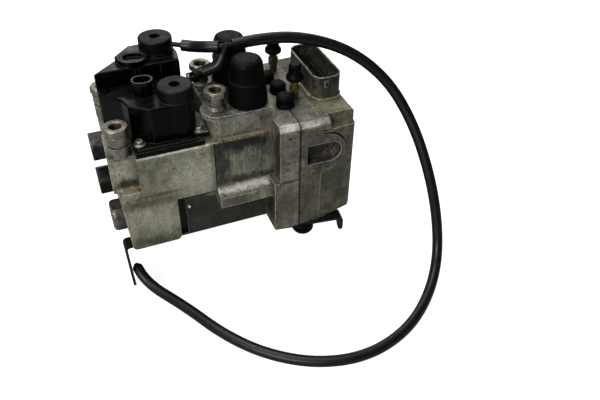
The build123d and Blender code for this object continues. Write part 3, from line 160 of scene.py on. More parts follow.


# ---- Left valve block ----------------------------------------------------------------------------
# A block of aluminium, sawn and milled, stepped down to a leg at its left end. Years under a bonnet have
# left it grey-green and blotched, bright along its edges from wear and a painted highlight, and brown where
# dirt has settled in its corners.

# Widths of the metal's patterns in millimetres. A cutter's lines are really 0.2 mm apart and a pit is
# 0.3 mm wide, too fine to show, so both are drawn about ten times as coarse.
CUTTER_LINES = 2.4
LINE_STRETCH = (1, 1, 0.06)   # the lines run up and down the block
SPECKLE = 2.2
BLOTS = 5.0
PITS = 2.1
DIRT_CLOUD = 4.0
WEAR_CLOUD = 3.4
DIRT_REACH = 9                # dirt lies this far out from a corner
NICK = 0.7                    # how far an edge is rounded in the light
BUMP_HEIGHT = 0.4


def mottle(tree, width, low, high, stretch=(1, 1, 1), detail=4, twist=0.0, top=1.0):
    """Cloudy patches about width mm wide: noise that is 0 below low and top above high."""
    place = add(tree, "ShaderNodeMapping", Vector=add(tree, "ShaderNodeTexCoord", "Object"), Scale=stretch)
    cloud = add(tree, "ShaderNodeTexNoise", Vector=place, Scale=1000 / width, Detail=detail, Roughness=0.62,
                Distortion=twist)
    return add(tree, "ShaderNodeMapRange", Value=cloud, From_Min=low, From_Max=high, To_Max=top)


def wear_and_highlight_band(tree, width):
    """1 along outer edges, 0 on flat faces: how far a rounded normal turns from the face's own. The band
    carries wear and a painted highlight.
    """
    likeness = add(tree, "ShaderNodeVectorMath", "Value", operation="DOT_PRODUCT",
                   in0=add(tree, "ShaderNodeBevel", Radius=width / 1000, samples=6),
                   in1=add(tree, "ShaderNodeNewGeometry", "Normal"))
    return add(tree, "ShaderNodeMapRange", Value=likeness, From_Min=0.995, From_Max=0.86)


def crevices(tree, reach):
    """1 in corners and gaps narrower than reach mm, 0 in the open."""
    open_share = add(tree, "ShaderNodeAmbientOcclusion", "AO", Distance=reach / 1000, samples=6)
    return add(tree, "ShaderNodeMapRange", Value=open_share, From_Min=0.86, From_Max=0.42)


def old_metal(name, light, dark, metal, gloss, patch=16, streaks=0.5, relief=0.5, marks=(), soil="2a2117",
              edge_wear_and_highlight="efece0", wear_and_highlight=1.0, pitting=0.75, edge_width=0.9):
    """Weathered metal. Tone runs from dark to light in patches with fine grain over them; then come edges
    lightened for rubbed wear and as a painted highlight, dirt in the corners, pits, and marks, each (centre,
    half size, hex, strength, how metallic)."""
    material = bpy.data.materials.new(name)
    material.use_nodes = True
    tree = material.node_tree
    shader = tree.nodes["Principled BSDF"]
    place = add(tree, "ShaderNodeTexCoord", "Object")
    lines = mottle(tree, CUTTER_LINES, 0.34, 0.68, LINE_STRETCH, 3)
    speckle = mottle(tree, SPECKLE, 0.38, 0.62, detail=5)
    blots = mottle(tree, BLOTS, 0.36, 0.64, detail=5, twist=0.6)
    pits = mottle(tree, PITS, 0.60, 0.66, detail=2, twist=1.5, top=pitting)
    ragged = mottle(tree, BLOTS, 0.25, 0.75, (1, 1, 0.45), 6)
    corners = add(tree, "ShaderNodeMath", operation="MULTIPLY", in0=crevices(tree, DIRT_REACH),
                  in1=mottle(tree, DIRT_CLOUD, 0.25, 0.6))
    # Edges are lightened for rubbed wear and as a painted highlight.
    worn_and_highlit_edges = add(tree, "ShaderNodeMath", operation="MULTIPLY", in0=wear_and_highlight_band(tree, edge_width),
                in1=mottle(tree, WEAR_CLOUD, 0.28, 0.56, top=wear_and_highlight))
    patches = mottle(tree, patch, 0.36, 0.64, detail=5, twist=0.4)
    tone = add(tree, "ShaderNodeMix", 2, data_type="RGBA", in0=patches, in6=colour(dark), in7=colour(light))
    shine = metal
    layers = [(add(tree, "ShaderNodeMath", operation="MULTIPLY", in0=blots, in1=0.4), dark, metal),
              (add(tree, "ShaderNodeMath", operation="MULTIPLY", in0=lines, in1=streaks), dark, metal),
              (add(tree, "ShaderNodeMath", operation="MULTIPLY", in0=speckle, in1=0.25), light, metal)]
    for centre, size, tint, strength, bare in marks:
        away = add(tree, "ShaderNodeVectorMath", operation="SUBTRACT", in0=place, in1=at(*centre))
        away = add(tree, "ShaderNodeVectorMath", operation="MULTIPLY", in0=away, in1=[1000 / s for s in size])
        away = add(tree, "ShaderNodeVectorMath", "Value", operation="LENGTH", in0=away)
        away = add(tree, "ShaderNodeMath", operation="ADD", in0=away, in1=ragged)
        near = add(tree, "ShaderNodeMapRange", Value=away, From_Min=1.85, From_Max=0.95, To_Max=strength)
        layers.append((near, tint, bare))
    layers += [(worn_and_highlit_edges, edge_wear_and_highlight, 0.35), (corners, soil, 0.0), (pits, "16130f", 0.0)]
    for amount, tint, bare in layers:
        tone = add(tree, "ShaderNodeMix", 2, data_type="RGBA", in0=amount, in6=tone, in7=colour(tint))
        shine = add(tree, "ShaderNodeMix", data_type="FLOAT", in0=amount, in2=shine, in3=bare)
    tree.links.new(tone, shader.inputs["Base Color"])
    tree.links.new(shine, shader.inputs["Metallic"])
    tree.links.new(add(tree, "ShaderNodeMapRange", Value=blots, To_Min=gloss + 0.14, To_Max=gloss - 0.10),
                   shader.inputs["Roughness"])
    height = add(tree, "ShaderNodeMath", operation="MULTIPLY_ADD", in0=lines, in1=0.35, in2=speckle)
    height = add(tree, "ShaderNodeMath", operation="MULTIPLY_ADD", in0=blots, in1=0.9, in2=height)
    height = add(tree, "ShaderNodeMath", operation="MULTIPLY_ADD", in0=pits, in1=-1.5, in2=height)
    tree.links.new(add(tree, "ShaderNodeBump", Height=height, Strength=relief, Distance=BUMP_HEIGHT / 1000,
                       Normal=add(tree, "ShaderNodeBevel", Radius=NICK / 1000, samples=4)),
                   shader.inputs["Normal"])
    return material


def dress(material, *names):
    """Gives CAD nodes their finish."""
    for name in names:
        mesh = nodes[name].data
        mesh.materials.clear()
        mesh.materials.append(material)


LEFT_MARKS = [
    ((6, 5, 59.5), (11, 5, 1.5), "c2a667", 0.6, 0.3),        # yellow salt on the ledge
    ((6, 5, 64), (12, 5, 4.5), "1c1a16", 0.9, 0.2),          # painted shadow in black just over the ledge
    ((16, 0, 46), (24, 4, 5), "4a3b25", 0.75, 0.1),          # brown stain across the leg
    ((30, 0, 52), (22, 4, 2.0), "2e261b", 0.7, 0.1),         # a darker streak over the stain
    ((38, 0, 88.6), (40, 2.5, 1.2), "fbf9ef", 0.9, 0.3),     # top edge rubbed bright, with a painted highlight along it
    ((72, 0, 66), (2.2, 4, 30), "2c2a25", 0.7, 0.2),         # dirt beside the joint
    ((14.1, 2, 74), (1.0, 6, 17), "0b0a08", 0.97, 0.0),      # black line in the step under the port
    ((8, 0, 4), (40, 5, 8), "2b2922", 0.7, 0.2),             # splashed foot of the leg
    ((4, 13, 89), (13, 13, 2.5), "2b2114", 0.9, 0.0),        # oily dirt round the front port
    ((20, 0, 62), (9, 4, 16), "5a5548", 0.5, 0.4),           # dull patch beside the ledge
    ((60, 0, 60), (18, 4, 20), "e6e6d6", 0.35, 0.6),         # wiped clean
    ((24, 0, 26), (14, 4, 16), "c9c9b6", 0.35, 0.6),         # wiped clean, lower down
    ((-3, 45, 60), (4, 40, 4), "3a3125", 0.8, 0.1),          # stain under the end plugs' face
]
# Milled aluminium after years of damp: a grey-green bloom that shines dully and mirrors nothing sharply.
dress(old_metal("weathered_aluminium_block", "dcdcc8", "6f6f60", 0.62, 0.36, patch=20, marks=LEFT_MARKS),
      "left_valve_block")


# ---- Joint seams ---------------------------------------------------------------------------------
# The blocks are ground flat and bolted face to face. Sealant and years of dirt have squeezed out of each
# joint as a thin black line.
DRIFT_GRAIN = 1.3             # real grain is under 0.1 mm, and is drawn coarse enough to show
DRIFT_BUMP = 0.2
DRIFT_NICK = 0.4


def plain_finish(name, first, second, metal, gloss, width, dots=0.2, specular=0.5):
    """An even finish whose tone drifts between two colours in patches width mm wide, with a fine grain."""
    material = bpy.data.materials.new(name)
    material.use_nodes = True
    tree = material.node_tree
    shader = tree.nodes["Principled BSDF"]
    shade = mottle(tree, width, 0.36, 0.66, detail=5, twist=0.7)
    tree.links.new(add(tree, "ShaderNodeMix", 2, data_type="RGBA", in0=shade, in6=colour(first),
                       in7=colour(second)), shader.inputs["Base Color"])
    shader.inputs["Metallic"].default_value = metal
    shader.inputs["Specular IOR Level"].default_value = specular
    tree.links.new(add(tree, "ShaderNodeMapRange", Value=shade, To_Min=gloss, To_Max=gloss + 0.12),
                   shader.inputs["Roughness"])
    tree.links.new(add(tree, "ShaderNodeBump", Height=mottle(tree, DRIFT_GRAIN, 0.3, 0.7), Strength=dots,
                       Distance=DRIFT_BUMP / 1000,
                       Normal=add(tree, "ShaderNodeBevel", Radius=DRIFT_NICK / 1000, samples=4)),
                   shader.inputs["Normal"])
    return material


def surface(name, grid, material, body, around=False, ends=False, loop=False):
    """A mesh from a grid of points, rows by columns, in millimetres off the datum. A grid that goes around
    is closed from its last column to its first; its end rows are capped, or joined where it is a loop."""
    if loop:
        grid = np.concatenate([grid, grid[:1]])
    rows, columns = grid.shape[:2]
    i, j = np.meshgrid(np.arange(rows - 1), np.arange(columns if around else columns - 1), indexing="ij")
    k = (j + 1) % columns
    faces = np.stack([i * columns + j, i * columns + k, (i + 1) * columns + k, (i + 1) * columns + j], -1)
    faces = faces.reshape(-1, 4).tolist()
    if ends:
        faces += [list(range(columns))[::-1], list(range((rows - 1) * columns, rows * columns))]
    mesh = bpy.data.meshes.new(name)
    mesh.from_pydata((grid.reshape(-1, 3) / 1000 + np.array(datum)).tolist(), [], faces)
    mesh.materials.append(material)
    piece = bpy.data.objects.new(name, mesh)
    bpy.context.scene.collection.objects.link(piece)
    outward = bmesh.new()
    outward.from_mesh(mesh)
    bmesh.ops.remove_doubles(outward, verts=outward.verts, dist=1e-7)
    bmesh.ops.recalc_face_normals(outward, faces=outward.faces)
    outward.to_mesh(mesh)
    outward.free()
    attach(piece, body)


def swept(name, path, profile, side, material, body="module"):
    """A profile carried along a path: each point is path(i) + a(j) side + b(j) up(i), where side is fixed and
    up is the path's direction crossed with side. a and b are the profile's two columns, in millimetres."""
    path, profile, side = (np.asarray(values, float) for values in (path, profile, side))
    along = np.gradient(path, axis=0)
    along /= np.linalg.norm(along, axis=1, keepdims=True)
    up = np.cross(along, side)
    up /= np.linalg.norm(up, axis=1, keepdims=True)
    grid = path[:, None] + profile[None, :, :1] * side + profile[None, :, 1:] * up[:, None]
    surface(name, grid, material, body, around=True, ends=True)


def bead(width, height):
    """The section of a squeezed bead, flat side down: (half the width times cos t, height times sin t) for t
    from 0 to pi."""
    turn = np.linspace(0, np.pi, 7)
    return np.stack([width / 2 * np.cos(turn), height * np.sin(turn)], 1)


def corners_of(name):
    """The low and high corners of a node's box, in millimetres off the datum."""
    return [np.array(corner - datum) * 1000 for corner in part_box(name)]


SEAM_SECTION = bead(0.9, 0.3)
SEAM_FOOT = 43.0              # the block seam ends on the lower housing
BLOCK_FRONT = -0.1
SLAB_SEAM_BACK = 86.0
SLAB_SEAM_FOOT = -3.5
TOP_BEVEL = 3.3
LEFT_JOINT, _, BLOCK_TOP = corners_of("left_valve_block")[1]
SLAB_FRONT = corners_of("pump_plate")[0][1]
BAY_JOINT, _, SLAB_TOP = corners_of("pump_plate")[1]
# Sealant and road dirt: matt black with hardly any shine, so each joint reads as a drawn line.
seam_dirt = plain_finish("black_seam_dirt", "0a0908", "1a1611", 0.0, 0.6, 3.0, specular=0.2)
block_line = [(LEFT_JOINT, BLOCK_FRONT, z) for z in np.linspace(BLOCK_TOP, SEAM_FOOT, 24)]
swept("block_seam", block_line, SEAM_SECTION, (1, 0, 0), seam_dirt)
slab_line = [(BAY_JOINT, y, SLAB_TOP) for y in np.linspace(SLAB_SEAM_BACK, SLAB_FRONT + TOP_BEVEL, 30)]
slab_line += [(BAY_JOINT, SLAB_FRONT, z) for z in np.linspace(SLAB_TOP - TOP_BEVEL, SLAB_SEAM_FOOT, 40)]
swept("slab_seam", slab_line, SEAM_SECTION, (1, 0, 0), seam_dirt)


# ---- Lower housing -------------------------------------------------------------------------------
# The pump's own casting, bolted up into the recess under the blocks. It is raw die-cast metal gone
# blue-grey, with painted shadow in black under the blocks and beside the leg, pale scratches, and a short
# steel dowel in its face.
DOWEL_PLACE = (50.6, corners_of("lower_housing")[0][1], 27.5)
DOWEL_PROFILE = [(1.5, 0.3), (1.6, -1.6), (1.35, -2.4), (0.8, -2.9), (0.2, -3.0)]     # radius, depth
HOUSING_MARKS = [
    ((66, 7, 40), (20, 4, 4.0), "0b0a09", 0.95, 0.0),        # painted shadow in black under the blocks' overhang
    ((44, 9, 20), (4.5, 6, 30), "080808", 0.95, 0.0),        # painted shadow cast by the left block, a black slot beside the leg
    ((75, 7, 34), (9, 3, 2.2), "b6b3a6", 0.8, 0.8),          # a scratch to bare metal
    ((92, 7, 28), (12, 3, 2.0), "8f8c80", 0.6, 0.7),         # a longer and fainter one
]
# Raw die-cast metal: dark blue-grey and dull, broken by its scratches and by painted shadow.
dress(old_metal("dark_corroded_casting", "56564f", "2d2d29", 0.55, 0.50, marks=HOUSING_MARKS, wear_and_highlight=0.5),
      "lower_housing")


def lathed(name, profile, place, axis, material, body="module", turns=40, loop=False):
    """A turned piece: each point is place + h(i) axis + r(i) (cos(t) u + sin(t) v), with u and v square to
    the axis. The profile's columns are r and h in millimetres, and a loop's last point joins its first."""
    profile, place, axis = (np.asarray(values, float) for values in (profile, place, axis))
    u = np.cross(axis, (0.3, 0.5, 0.8))
    u /= np.linalg.norm(u)
    v = np.cross(axis, u)
    turn = np.linspace(0, 2 * np.pi, turns, endpoint=False)
    ring = np.cos(turn)[None, :, None] * u + np.sin(turn)[None, :, None] * v
    grid = place + profile[:, None, 1:] * axis + profile[:, None, :1] * ring
    surface(name, grid, material, body, around=True, ends=not loop, loop=loop)


# Hardened steel rubbed by tools: the one pale point on the dark casting.
rubbed_pin = plain_finish("rubbed_steel_pin", "dedbcf", "8f8b7e", 0.6, 0.35, 2.0)
lathed("housing_dowel", DOWEL_PROFILE, DOWEL_PLACE, (0, 1, 0), rubbed_pin)


# ---- Middle valve block --------------------------------------------------------------------------
# The second aluminium block, with the brushed lip along its foot and the raised seat for the high ports
# and the rubber caps. Oil has turned its front blue-black; the cove above the lip is brushed bright and
# carries a painted highlight, and road dirt has baked into a crust at the foot of the seat.
MIDDLE_MARKS = [
    ((97, 0, 84), (34, 4, 9), "141516", 0.97, 0.3),          # oil over the top of the front face
    ((78, 0, 66), (8, 3, 20), "1b1b19", 0.85, 0.1),          # oil run down beside the joint
    ((100, 0, 49), (30, 3, 4), "1d1c19", 0.85, 0.1),         # dirt over the cove
    ((100, -4, 43.5), (30, 4, 2.8), "f6f4ea", 0.9, 0.45),    # the cove, brushed bright, with a painted highlight along it
    ((82, -9.4, 35), (16, 3, 4.5), "4a4940", 0.75, 0.0),     # the lip's dull left end
    ((98, 0, 90), (28, 3, 2.2), "c9bfa0", 0.75, 0.4),        # pale salt at the foot of the seat
    ((98, 0, 92.5), (26, 3, 1.8), "4a3a22", 0.7, 0.0),       # a brown line over it
    ((98, 34, 111), (42, 46, 3.0), "17130d", 0.93, 0.0),     # the seat's oily top
    ((120, 0, 92), (5, 4, 4), "8c7a52", 0.8, 0.0),           # yellow-brown corner by the slab
]
# The same aluminium, darker and oilier: streaked up and down where oil has run over the cutter's lines.
dress(old_metal("weathered_aluminium_seat", "cccbb9", "56554b", 0.65, 0.36, marks=MIDDLE_MARKS, streaks=0.7),
      "middle_valve_block")


LUMPS = (3, 7)                # lengths over which a crust swells, in steps along its path
SWELLING = 2.2


def crusted(name, path, outward, width, height, seed, material):
    """A ragged crust: path(i) + a cos(t) outward(i) + b sin(t) up(i) for t from 0 to pi, where a and b are
    width and height times a wandering factor, so the ridge swells and thins along the path."""
    path, outward = np.asarray(path, float), np.asarray(outward, float)
    count = len(path)
    luck = np.random.default_rng(seed)
    wander = []
    for span in LUMPS:
        rough = luck.uniform(0.1, 1.0, (2, count + 2 * span))
        window = np.ones(span) / span
        wander.append(np.stack([np.convolve(row, window, "same")[span:span + count] for row in rough]))
    swell = wander[0] * wander[1] * SWELLING
    along = np.gradient(path, axis=0)
    along /= np.linalg.norm(along, axis=1, keepdims=True)
    up = np.cross(along, outward)
    turn = np.linspace(0, np.pi, 7)
    across = (width * swell[0])[:, None, None] * np.cos(turn)[None, :, None] * outward[:, None]
    raised = (height * swell[1])[:, None, None] * np.sin(turn)[None, :, None] * up[:, None]
    surface(name, path[:, None] + across + raised, material, "module", around=True, ends=True)


SEAT_CRUST_X = (76, 121)
SEAT_CRUST_Z = 89.0
seat_line = [(x, BLOCK_FRONT, SEAT_CRUST_Z) for x in np.linspace(*SEAT_CRUST_X, 120)]
# Baked dirt: matt yellow-brown grains with dark gaps between them.
seat_crust = old_metal("baked_road_dirt", "93805a", "2f2416", 0.0, 0.8, patch=4, streaks=0.0, relief=1.0,
                       wear_and_highlight=0.4)
crusted("seat_foot_crust", seat_line, [(0, 0, 1)] * len(seat_line), width=1.3, height=0.7, seed=4,
        material=seat_crust)


# ---- Pump plate and coil bay ---------------------------------------------------------------------
# Two slabs milled from plate and clamped together, proud of the blocks by 15 mm, with a bevel along the
# top front edge. The ear on the second one carries a mounting stud. Milled faces, stained brown low down.
PLATE_MARKS = [
    ((131.7, -12, 87.9), (3, 8, 3), "050505", 1.0, 0.0),     # painted shade in black inside the locating hole
    ((122.9, -8, 70), (1.2, 9, 34), "0c0b0a", 0.95, 0.0),    # painted shade down the slab's left side, which faces away from the light
    ((131, -14, 97.5), (12, 4, 3.0), "f4f3ea", 0.9, 0.5),    # the bevel, rubbed bright, with a painted highlight on it
    ((128, -15, 22), (14, 4, 20), "54483a", 0.7, 0.2),       # brown stain on the wider foot
    ((131, -15, 46), (12, 3, 1.4), "1d1a15", 0.85, 0.0),     # dirty line where the foot widens
    ((118, -5, 20), (3, 12, 40), "0d0c0b", 0.95, 0.0),       # the foot's shaded side
    ((139.4, -15, 60), (1.0, 3, 60), "1a1815", 0.8, 0.1),    # dirt beside the joint
]
# Aluminium plate, face-milled: flatter and cleaner than the blocks, with fine upright streaks.
dress(old_metal("milled_aluminium_plate", "bbb8a7", "5c5a4f", 0.6, 0.40, patch=11, streaks=0.6,
                marks=PLATE_MARKS), "pump_plate", "flange_corner_plate")
BAY_MARKS = [
    ((160, -6, 67.6), (17, 4.5, 10), "1a1510", 0.85, 0.1),   # dirt inside the ear's pocket
    ((163, -14, 68), (17, 5, 17), "1b1a17", 0.75, 0.2),      # the ear's dark, oily face
    ((149, -15, 97), (12, 4, 3.0), "e6e4d9", 0.8, 0.5),      # the bevel, rubbed bright, with a painted highlight on it
    ((149, -15, 25), (10, 4, 22), "3a352c", 0.6, 0.2),       # stained foot
]
# The same plate, a shade darker and duller, so that the joint between the slabs shows.
dress(old_metal("milled_aluminium_bay", "a4a293", "4b4a41", 0.6, 0.42, patch=11, streaks=0.6,
                marks=BAY_MARKS), "coil_bay")


# ---- Control unit --------------------------------------------------------------------------------
# A rough sand-cast box, dull green-grey, over the electronics. The plug's shroud on top is the same
# casting, turned dark and furred white and yellow round its foot where water stood.
UNIT_MARKS = [
    ((176, 4, 99), (18, 10, 2.0), "b9b08a", 0.45, 0.1),      # pale bloom in front of the shroud
    ((172, -15, 40), (20, 6, 14), "35342c", 0.6, 0.2),       # dark patch low on the front
    ((176, 44, 116), (26, 60, 18), "10100e", 0.92, 0.2),     # the blackened shroud
    ((173, -14, 92), (18, 6, 4), "8f8b76", 0.6, 0.4),        # the worn step under the top edge
]
# Sand-cast aluminium: an even, grainy green-grey that scatters the light.
dress(old_metal("rough_sand_casting", "8f8d79", "42413a", 0.5, 0.50, patch=9, streaks=0.15, relief=0.9,
                marks=UNIT_MARKS), "control_unit")

SHROUD_X = (164.0, 188.5)
SHROUD_Y = (13.0, 74.0)
SHROUD_CORNER = 9.0
SHROUD_HEIGHT = 20.0
CORNER_POINTS = 12
CRUST_STEP = 0.2              # of the way between two points: fine round the corners, coarse between them
UNIT_TOP = corners_of("control_unit")[1][2] - SHROUD_HEIGHT
right, left = SHROUD_X[1] - SHROUD_CORNER, SHROUD_X[0] + SHROUD_CORNER
back, front = SHROUD_Y[1] - SHROUD_CORNER, SHROUD_Y[0] + SHROUD_CORNER
turn = (np.arange(4)[:, None] * np.pi / 2 + np.linspace(0, np.pi / 2, CORNER_POINTS)).ravel()
outward = np.stack([np.cos(turn), np.sin(turn), 0 * turn], 1)
middles = np.repeat([(right, back, UNIT_TOP), (left, back, UNIT_TOP), (left, front, UNIT_TOP),
                     (right, front, UNIT_TOP)], CORNER_POINTS, axis=0)
outline = middles + SHROUD_CORNER * outward
outline, outward = (np.concatenate([points, points[:1]]) for points in (outline, outward))
steps = np.arange(0, len(outline) - 1, CRUST_STEP)
outline, outward = (np.stack([np.interp(steps, np.arange(len(points)), column) for column in points.T], 1)
                    for points in (outline, outward))
# Corrosion salts: dead matt, cream and yellow, crumbly.
salt = old_metal("white_yellow_corrosion", "d8cfa6", "8d7b4c", 0.0, 0.85, patch=4, streaks=0.0, relief=1.0,
                 wear_and_highlight=0.3)
crusted("shroud_foot_crust", outline, -outward, width=1.7, height=1.5, seed=9, material=salt)
# Glass-fibre board under green lacquer: smooth and evenly green.
dress(plain_finish("green_laminate", "1c5a34", "17472a", 0.0, 0.4, 3.0), "circuit_board")
# Tinned brass pins gone dull: they barely show against the black carrier.
dress(plain_finish("dull_tinned_brass", "4a473b", "2b2922", 0.8, 0.45, 2.5), "connector_pins")

DUST_CLOUD = 9
DUST_SPECKS = 0.9             # real dust is far finer, and is drawn as coarse as it needs to show
SCUFF_AND_HIGHLIGHT_WIDTH = 0.6
SKIN_BUMP = 0.2


def dusty_black(name, tone, dust, dustiness, gloss, specular, grain=1.2, edge_wear_and_highlight=0.15, relief=0.22):
    """Black rubber or plastic: deep black where it is clean, with grey dust on what faces up, and edges
    lightened grey for scuffs and as a painted highlight.
    """
    material = bpy.data.materials.new(name)
    material.use_nodes = True
    tree = material.node_tree
    shader = tree.nodes["Principled BSDF"]
    up = add(tree, "ShaderNodeSeparateXYZ", "Z", Vector=add(tree, "ShaderNodeNewGeometry", "Normal"))
    up = add(tree, "ShaderNodeMapRange", Value=up, From_Min=0.2, From_Max=0.95, To_Min=0.04)
    dirt = add(tree, "ShaderNodeMath", operation="MULTIPLY", in0=up,
               in1=mottle(tree, DUST_CLOUD, 0.36, 0.68, detail=6, twist=0.6, top=dustiness))
    dirt = add(tree, "ShaderNodeMath", operation="MULTIPLY_ADD", in0=mottle(tree, DUST_SPECKS, 0.46, 0.66),
               in1=0.10 * dustiness, in2=dirt)
    # Edges are lightened grey for scuffs and as a painted highlight.
    scuffs_and_highlight = add(tree, "ShaderNodeMath", operation="MULTIPLY", in0=wear_and_highlight_band(tree, SCUFF_AND_HIGHLIGHT_WIDTH), in1=edge_wear_and_highlight)
    shaded = add(tree, "ShaderNodeMix", 2, data_type="RGBA", in0=dirt, in6=colour(tone), in7=colour(dust))
    shaded = add(tree, "ShaderNodeMix", 2, data_type="RGBA", in0=scuffs_and_highlight, in6=shaded, in7=colour("6a6a6c"))
    tree.links.new(shaded, shader.inputs["Base Color"])
    shader.inputs["Specular IOR Level"].default_value = specular
    tree.links.new(add(tree, "ShaderNodeMapRange", Value=dirt, From_Max=0.6, To_Min=gloss,
                       To_Max=gloss + 0.35), shader.inputs["Roughness"])
    tree.links.new(add(tree, "ShaderNodeBump", Height=mottle(tree, grain, 0.3, 0.7), Strength=relief,
                       Distance=SKIN_BUMP / 1000,
                       Normal=add(tree, "ShaderNodeBevel", Radius=SCUFF_AND_HIGHLIGHT_WIDTH / 1000, samples=4)),
                   shader.inputs["Normal"])
    return material


# Moulded nylon, never polished: black with a soft, low shine, grey where dust lies.
dull_plastic = dusty_black("moulded_black_nylon", "080808", "2b2b29", 0.45, 0.42, 0.16)
dress(dull_plastic, "connector_insert")


# ---- Straps and foot -----------------------------------------------------------------------------
# Flat steel straps, bent cold and painted black, bolted up under the module, two of them with a long leg
# that it stands on, and a moulded rubber buffer beside them.

# Black paint over steel: a low satin shine, browner where it has chipped.
dress(plain_finish("chipped_black_paint", "0e0e0e", "1f1c19", 0.1, 0.42, 6.0, specular=0.3), "left_bracket",
      "right_bracket")
# Moulded rubber: the deepest black, with almost no highlight.
rubber = dusty_black("moulded_black_rubber", "030303", "272624", 0.28, 0.45, 0.08)
dress(rubber, "buffer_foot")


# ---- Motors and pumps ----------------------------------------------------------------------------
# Two drawn steel cans under the module, zinc plated, each with its ferrite magnets and wound armature.
# The pumps' pistons, springs and plugs are ground or turned steel.
def plated(name, light="b5b1a4", dark="6f6c62", gloss=0.34, marks=(), wear_and_highlight=1.0):
    """Zinc plate that has dulled, with dirt in its corners."""
    return old_metal(name, light, dark, 0.85, gloss, patch=6, streaks=0.1, relief=0.25, marks=marks,
                     soil="15110c", edge_wear_and_highlight="ece9df", pitting=0.5, edge_width=0.7, wear_and_highlight=wear_and_highlight)


# Dulled zinc: pale grey metal with bright edges and soft reflections.
zinc = plated("dulled_zinc_plate")
dress(zinc, "left_motor_case", "right_motor_case", "pump_plugs")
# Ground steel, kept clean by oil: evenly bright and metallic.
ground_steel = plain_finish("ground_steel", "b4b4b2", "8d8d8b", 1.0, 0.3, 5.0)
dress(ground_steel, "left_armature", "right_armature", "left_pump_piston", "right_pump_piston",
      "return_springs")
# Sintered ferrite: dark grey, matt as slate.
dress(plain_finish("grey_ferrite", "3a3a3b", "2b2b2c", 0.2, 0.6, 3.0), "motor_magnets")


# ---- Control pistons, end plugs and cover --------------------------------------------------------
# Two steel pistons slide in the left block behind hexagon plugs, and a pressed cover closes the third
# bore. The plugs' flats are painted near black as shade, since they face away from the light, and only
# the facets that look up still shine.

# Zinc painted near black as shade where the plugs face away from the light; bright where a facet turns
# to the light.
dress(plated("zinc_plugs_in_painted_shade", "3d3c37", "0e0e0d", 0.28, wear_and_highlight=0.45), "upper_end_plug", "lower_end_plug")
# The cover's zinc is lighter than the plugs', and shows grey.
dress(plated("oily_zinc_cover", "7b796f", "383733", 0.36), "piston_cover")
dress(ground_steel, "upper_control_piston", "lower_control_piston")


# ---- Solenoid valves -----------------------------------------------------------------------------
# Four turned steel cartridges with sliding plungers, and the coils of enamelled wire that lift them.
# They sit inside the slabs, pressed into their bores.
dress(ground_steel, "valve_bodies", *(name for name in nodes if name.endswith("_plunger")))
# Enamelled copper wire: warm red-brown and shiny.
dress(plain_finish("enamelled_copper", "8f4a22", "6d3517", 0.9, 0.35, 2.0), "solenoid_coils")


# ---- Pipe ports ----------------------------------------------------------------------------------
# Four turned steel unions, zinc plated and screwed into the blocks, with a fine thread in each. Their
# rims are bright from spanners, and their bores are stained dark brown.
BORE_RADIUS = 4.72            # just inside the steel, so that the thread's ring is rooted in it
THREAD_CREST = 4.15
THREAD_DEPTH = 0.5
THREAD_PITCH = 1.0
THREAD_TURNS = 8
THREAD_START = 0.9            # below the rim
THREAD_LIP = 0.2
STAIN_DEPTH = 7.4
STAIN_SIZE = (4.3, 4.3, 16)
places = {}
for name in ("front_left", "rear_left", "front_middle", "rear_middle"):
    low, high = corners_of("port_" + name)
    places[name] = ((low[0] + high[0]) / 2, (low[1] + high[1]) / 2, high[2])
PORT_MARKS = [((x, y, rim - STAIN_DEPTH), STAIN_SIZE, "4a3a22", 0.85, 0.2) for x, y, rim in places.values()]
# Zinc with brown fluid stains down the bore: pale rims round dark holes.
dress(plated("stained_zinc_ports", "a5a295", "6a675c", marks=PORT_MARKS),
      *("port_" + name for name in places))
flank = np.arange(2 * THREAD_TURNS)
crests = np.stack([THREAD_CREST + THREAD_DEPTH * (flank % 2), -THREAD_START - flank * THREAD_PITCH / 2], 1)
thread_section = np.concatenate([[(BORE_RADIUS, THREAD_LIP - THREAD_START)], crests,
                                 [(BORE_RADIUS, -THREAD_START - THREAD_TURNS * THREAD_PITCH)]])
# Cut steel soaked in old fluid: dark brown, half metallic.
stained_thread = plain_finish("stained_thread", "4a3c22", "1d160c", 0.5, 0.4, 2.0)
for name, place in places.items():
    lathed("thread_" + name, thread_section, place, (0, 0, 1), stained_thread, loop=True)


# ---- Rubber caps and blanking caps ---------------------------------------------------------------
# Two tall moulded boots pushed over steel spigots on the seat, and three squat caps on the slabs, all of
# one black rubber.
dress(rubber, "front_rubber_cap", "rear_rubber_cap", "blanking_caps")
dress(zinc, "cap_spigots")


# ---- Bleed screws --------------------------------------------------------------------------------
# Brass screws with a hexagon and a tapered seat, screwed into the slabs. Each has a loose rubber cap
# pushed over its nipple to keep the dirt out.

# Tarnished brass: dull brown-yellow, brighter in patches.
dress(plain_finish("tarnished_brass", "8a7a4a", "4d3d22", 0.8, 0.38, 4.0), "front_bleed_screw",
      "rear_bleed_screw")
dress(rubber, "front_bleed_cap", "rear_bleed_cap")
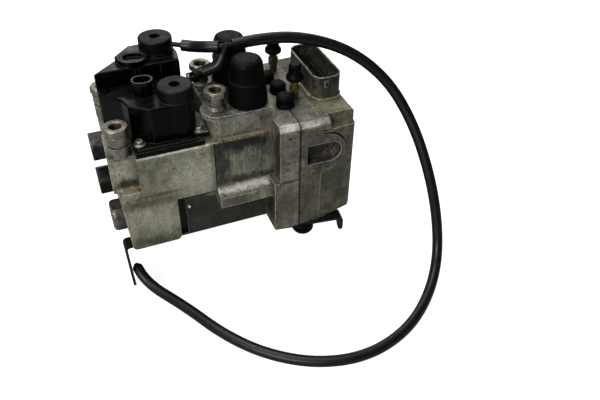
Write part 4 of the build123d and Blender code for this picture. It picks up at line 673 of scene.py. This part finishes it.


# ---- Reservoirs ----------------------------------------------------------------------------------
# Two welded black nylon tanks, glossy on their walls and dusty on top, screwed down by their flanges.
# Foamed floats ride inside them on the level sensors. The rear tank has moulded ribs on its front wall.

# Glossy nylon: black with sharp small highlights, brown-grey where dust lies, and a painted highlight
# along its edges.
tank_plastic = dusty_black("glossy_black_nylon", "020202", "2a251f", 0.36, 0.20, 0.12, 3.0, 0.45, 0.12)
dress(tank_plastic, "front_reservoir", "rear_reservoir", "front_level_sensor", "rear_level_sensor")
dress(dull_plastic, "front_reservoir_cap", "rear_reservoir_cap")
REAR_TANK_FRONT = 53.0
RIB_SECTION = bead(1.2, 0.9)
TANK_RIBS = ((30.3, 129.6, 133.2), (33.8, 127.6, 133.4), (50.2, 121.5, 133.6))     # x, lower end, upper end
for number, (x, low, high) in enumerate(TANK_RIBS):
    rib_line = [(x, REAR_TANK_FRONT, z) for z in np.linspace(high, low, 8)]
    swept(f"tank_rib_{number + 1}", rib_line, RIB_SECTION, (1, 0, 0), tank_plastic)
dress(zinc, "reservoir_screws")
# Foamed plastic: cream and matt.
dress(plain_finish("foamed_plastic", "d8d2bf", "c4bda8", 0.0, 0.6, 2.0), "front_float", "rear_float")


# ---- Vent hoses ----------------------------------------------------------------------------------
# Extruded rubber hose: two short branches from the tanks' caps to a moulded tee, and the long one from
# the tee round the right side and back to the left bracket's leg, stopped with a rubber plug.

# Extruded rubber: smoother than the moulded pieces, with a long soft highlight.
hose_rubber = dusty_black("smooth_extruded_rubber", "070708", "222326", 0.25, 0.36, 0.40, 0.7, 0.0, 0.08)
dress(hose_rubber, "front_branch_hose", "rear_branch_hose")
dress(dull_plastic, "vent_tee")
dress(rubber, "hose_end_plug")

HOSE_RADIUS = 4.5
HOSE_ROUTE = [(104.0, 37.8, 148.25), (123.0, 37.0, 150.4), (160.0, 34.0, 147.5), (199.0, 25.0, 133.0),
              (228.0, 9.0, 108.0), (243.0, -13.0, 77.0), (250.0, -36.0, 43.0), (254.0, -55.0, 5.0),
              (250.0, -74.0, -31.0), (227.0, -100.0, -45.2), (192.0, -125.0, -45.4), (151.0, -136.0, -45.3),
              (111.0, -128.0, -45.4), (76.0, -105.0, -45.3), (50.0, -73.0, -45.4), (30.0, -35.0, -45.2),
              (3.5, 3.6, -43.0), (0.6, 10.9, -30.0)]
curve = bpy.data.curves.new("vent_hose_line", "CURVE")
curve.dimensions = "3D"
curve.bevel_depth = HOSE_RADIUS / 1000
curve.bevel_resolution = 6
curve.resolution_u = 10
curve.use_fill_caps = True
line = curve.splines.new("NURBS")
line.points.add(len(HOSE_ROUTE) - 1)
for point, place in zip(line.points, HOSE_ROUTE):
    point.co = (*at(*place), 1)
line.order_u = 3
line.use_endpoint_u = True
vent_hose = bpy.data.objects.new("vent_hose_line", curve)
bpy.context.scene.collection.objects.link(vent_hose)
curve.materials.append(hose_rubber)
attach(vent_hose, "module")
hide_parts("vent_hose")
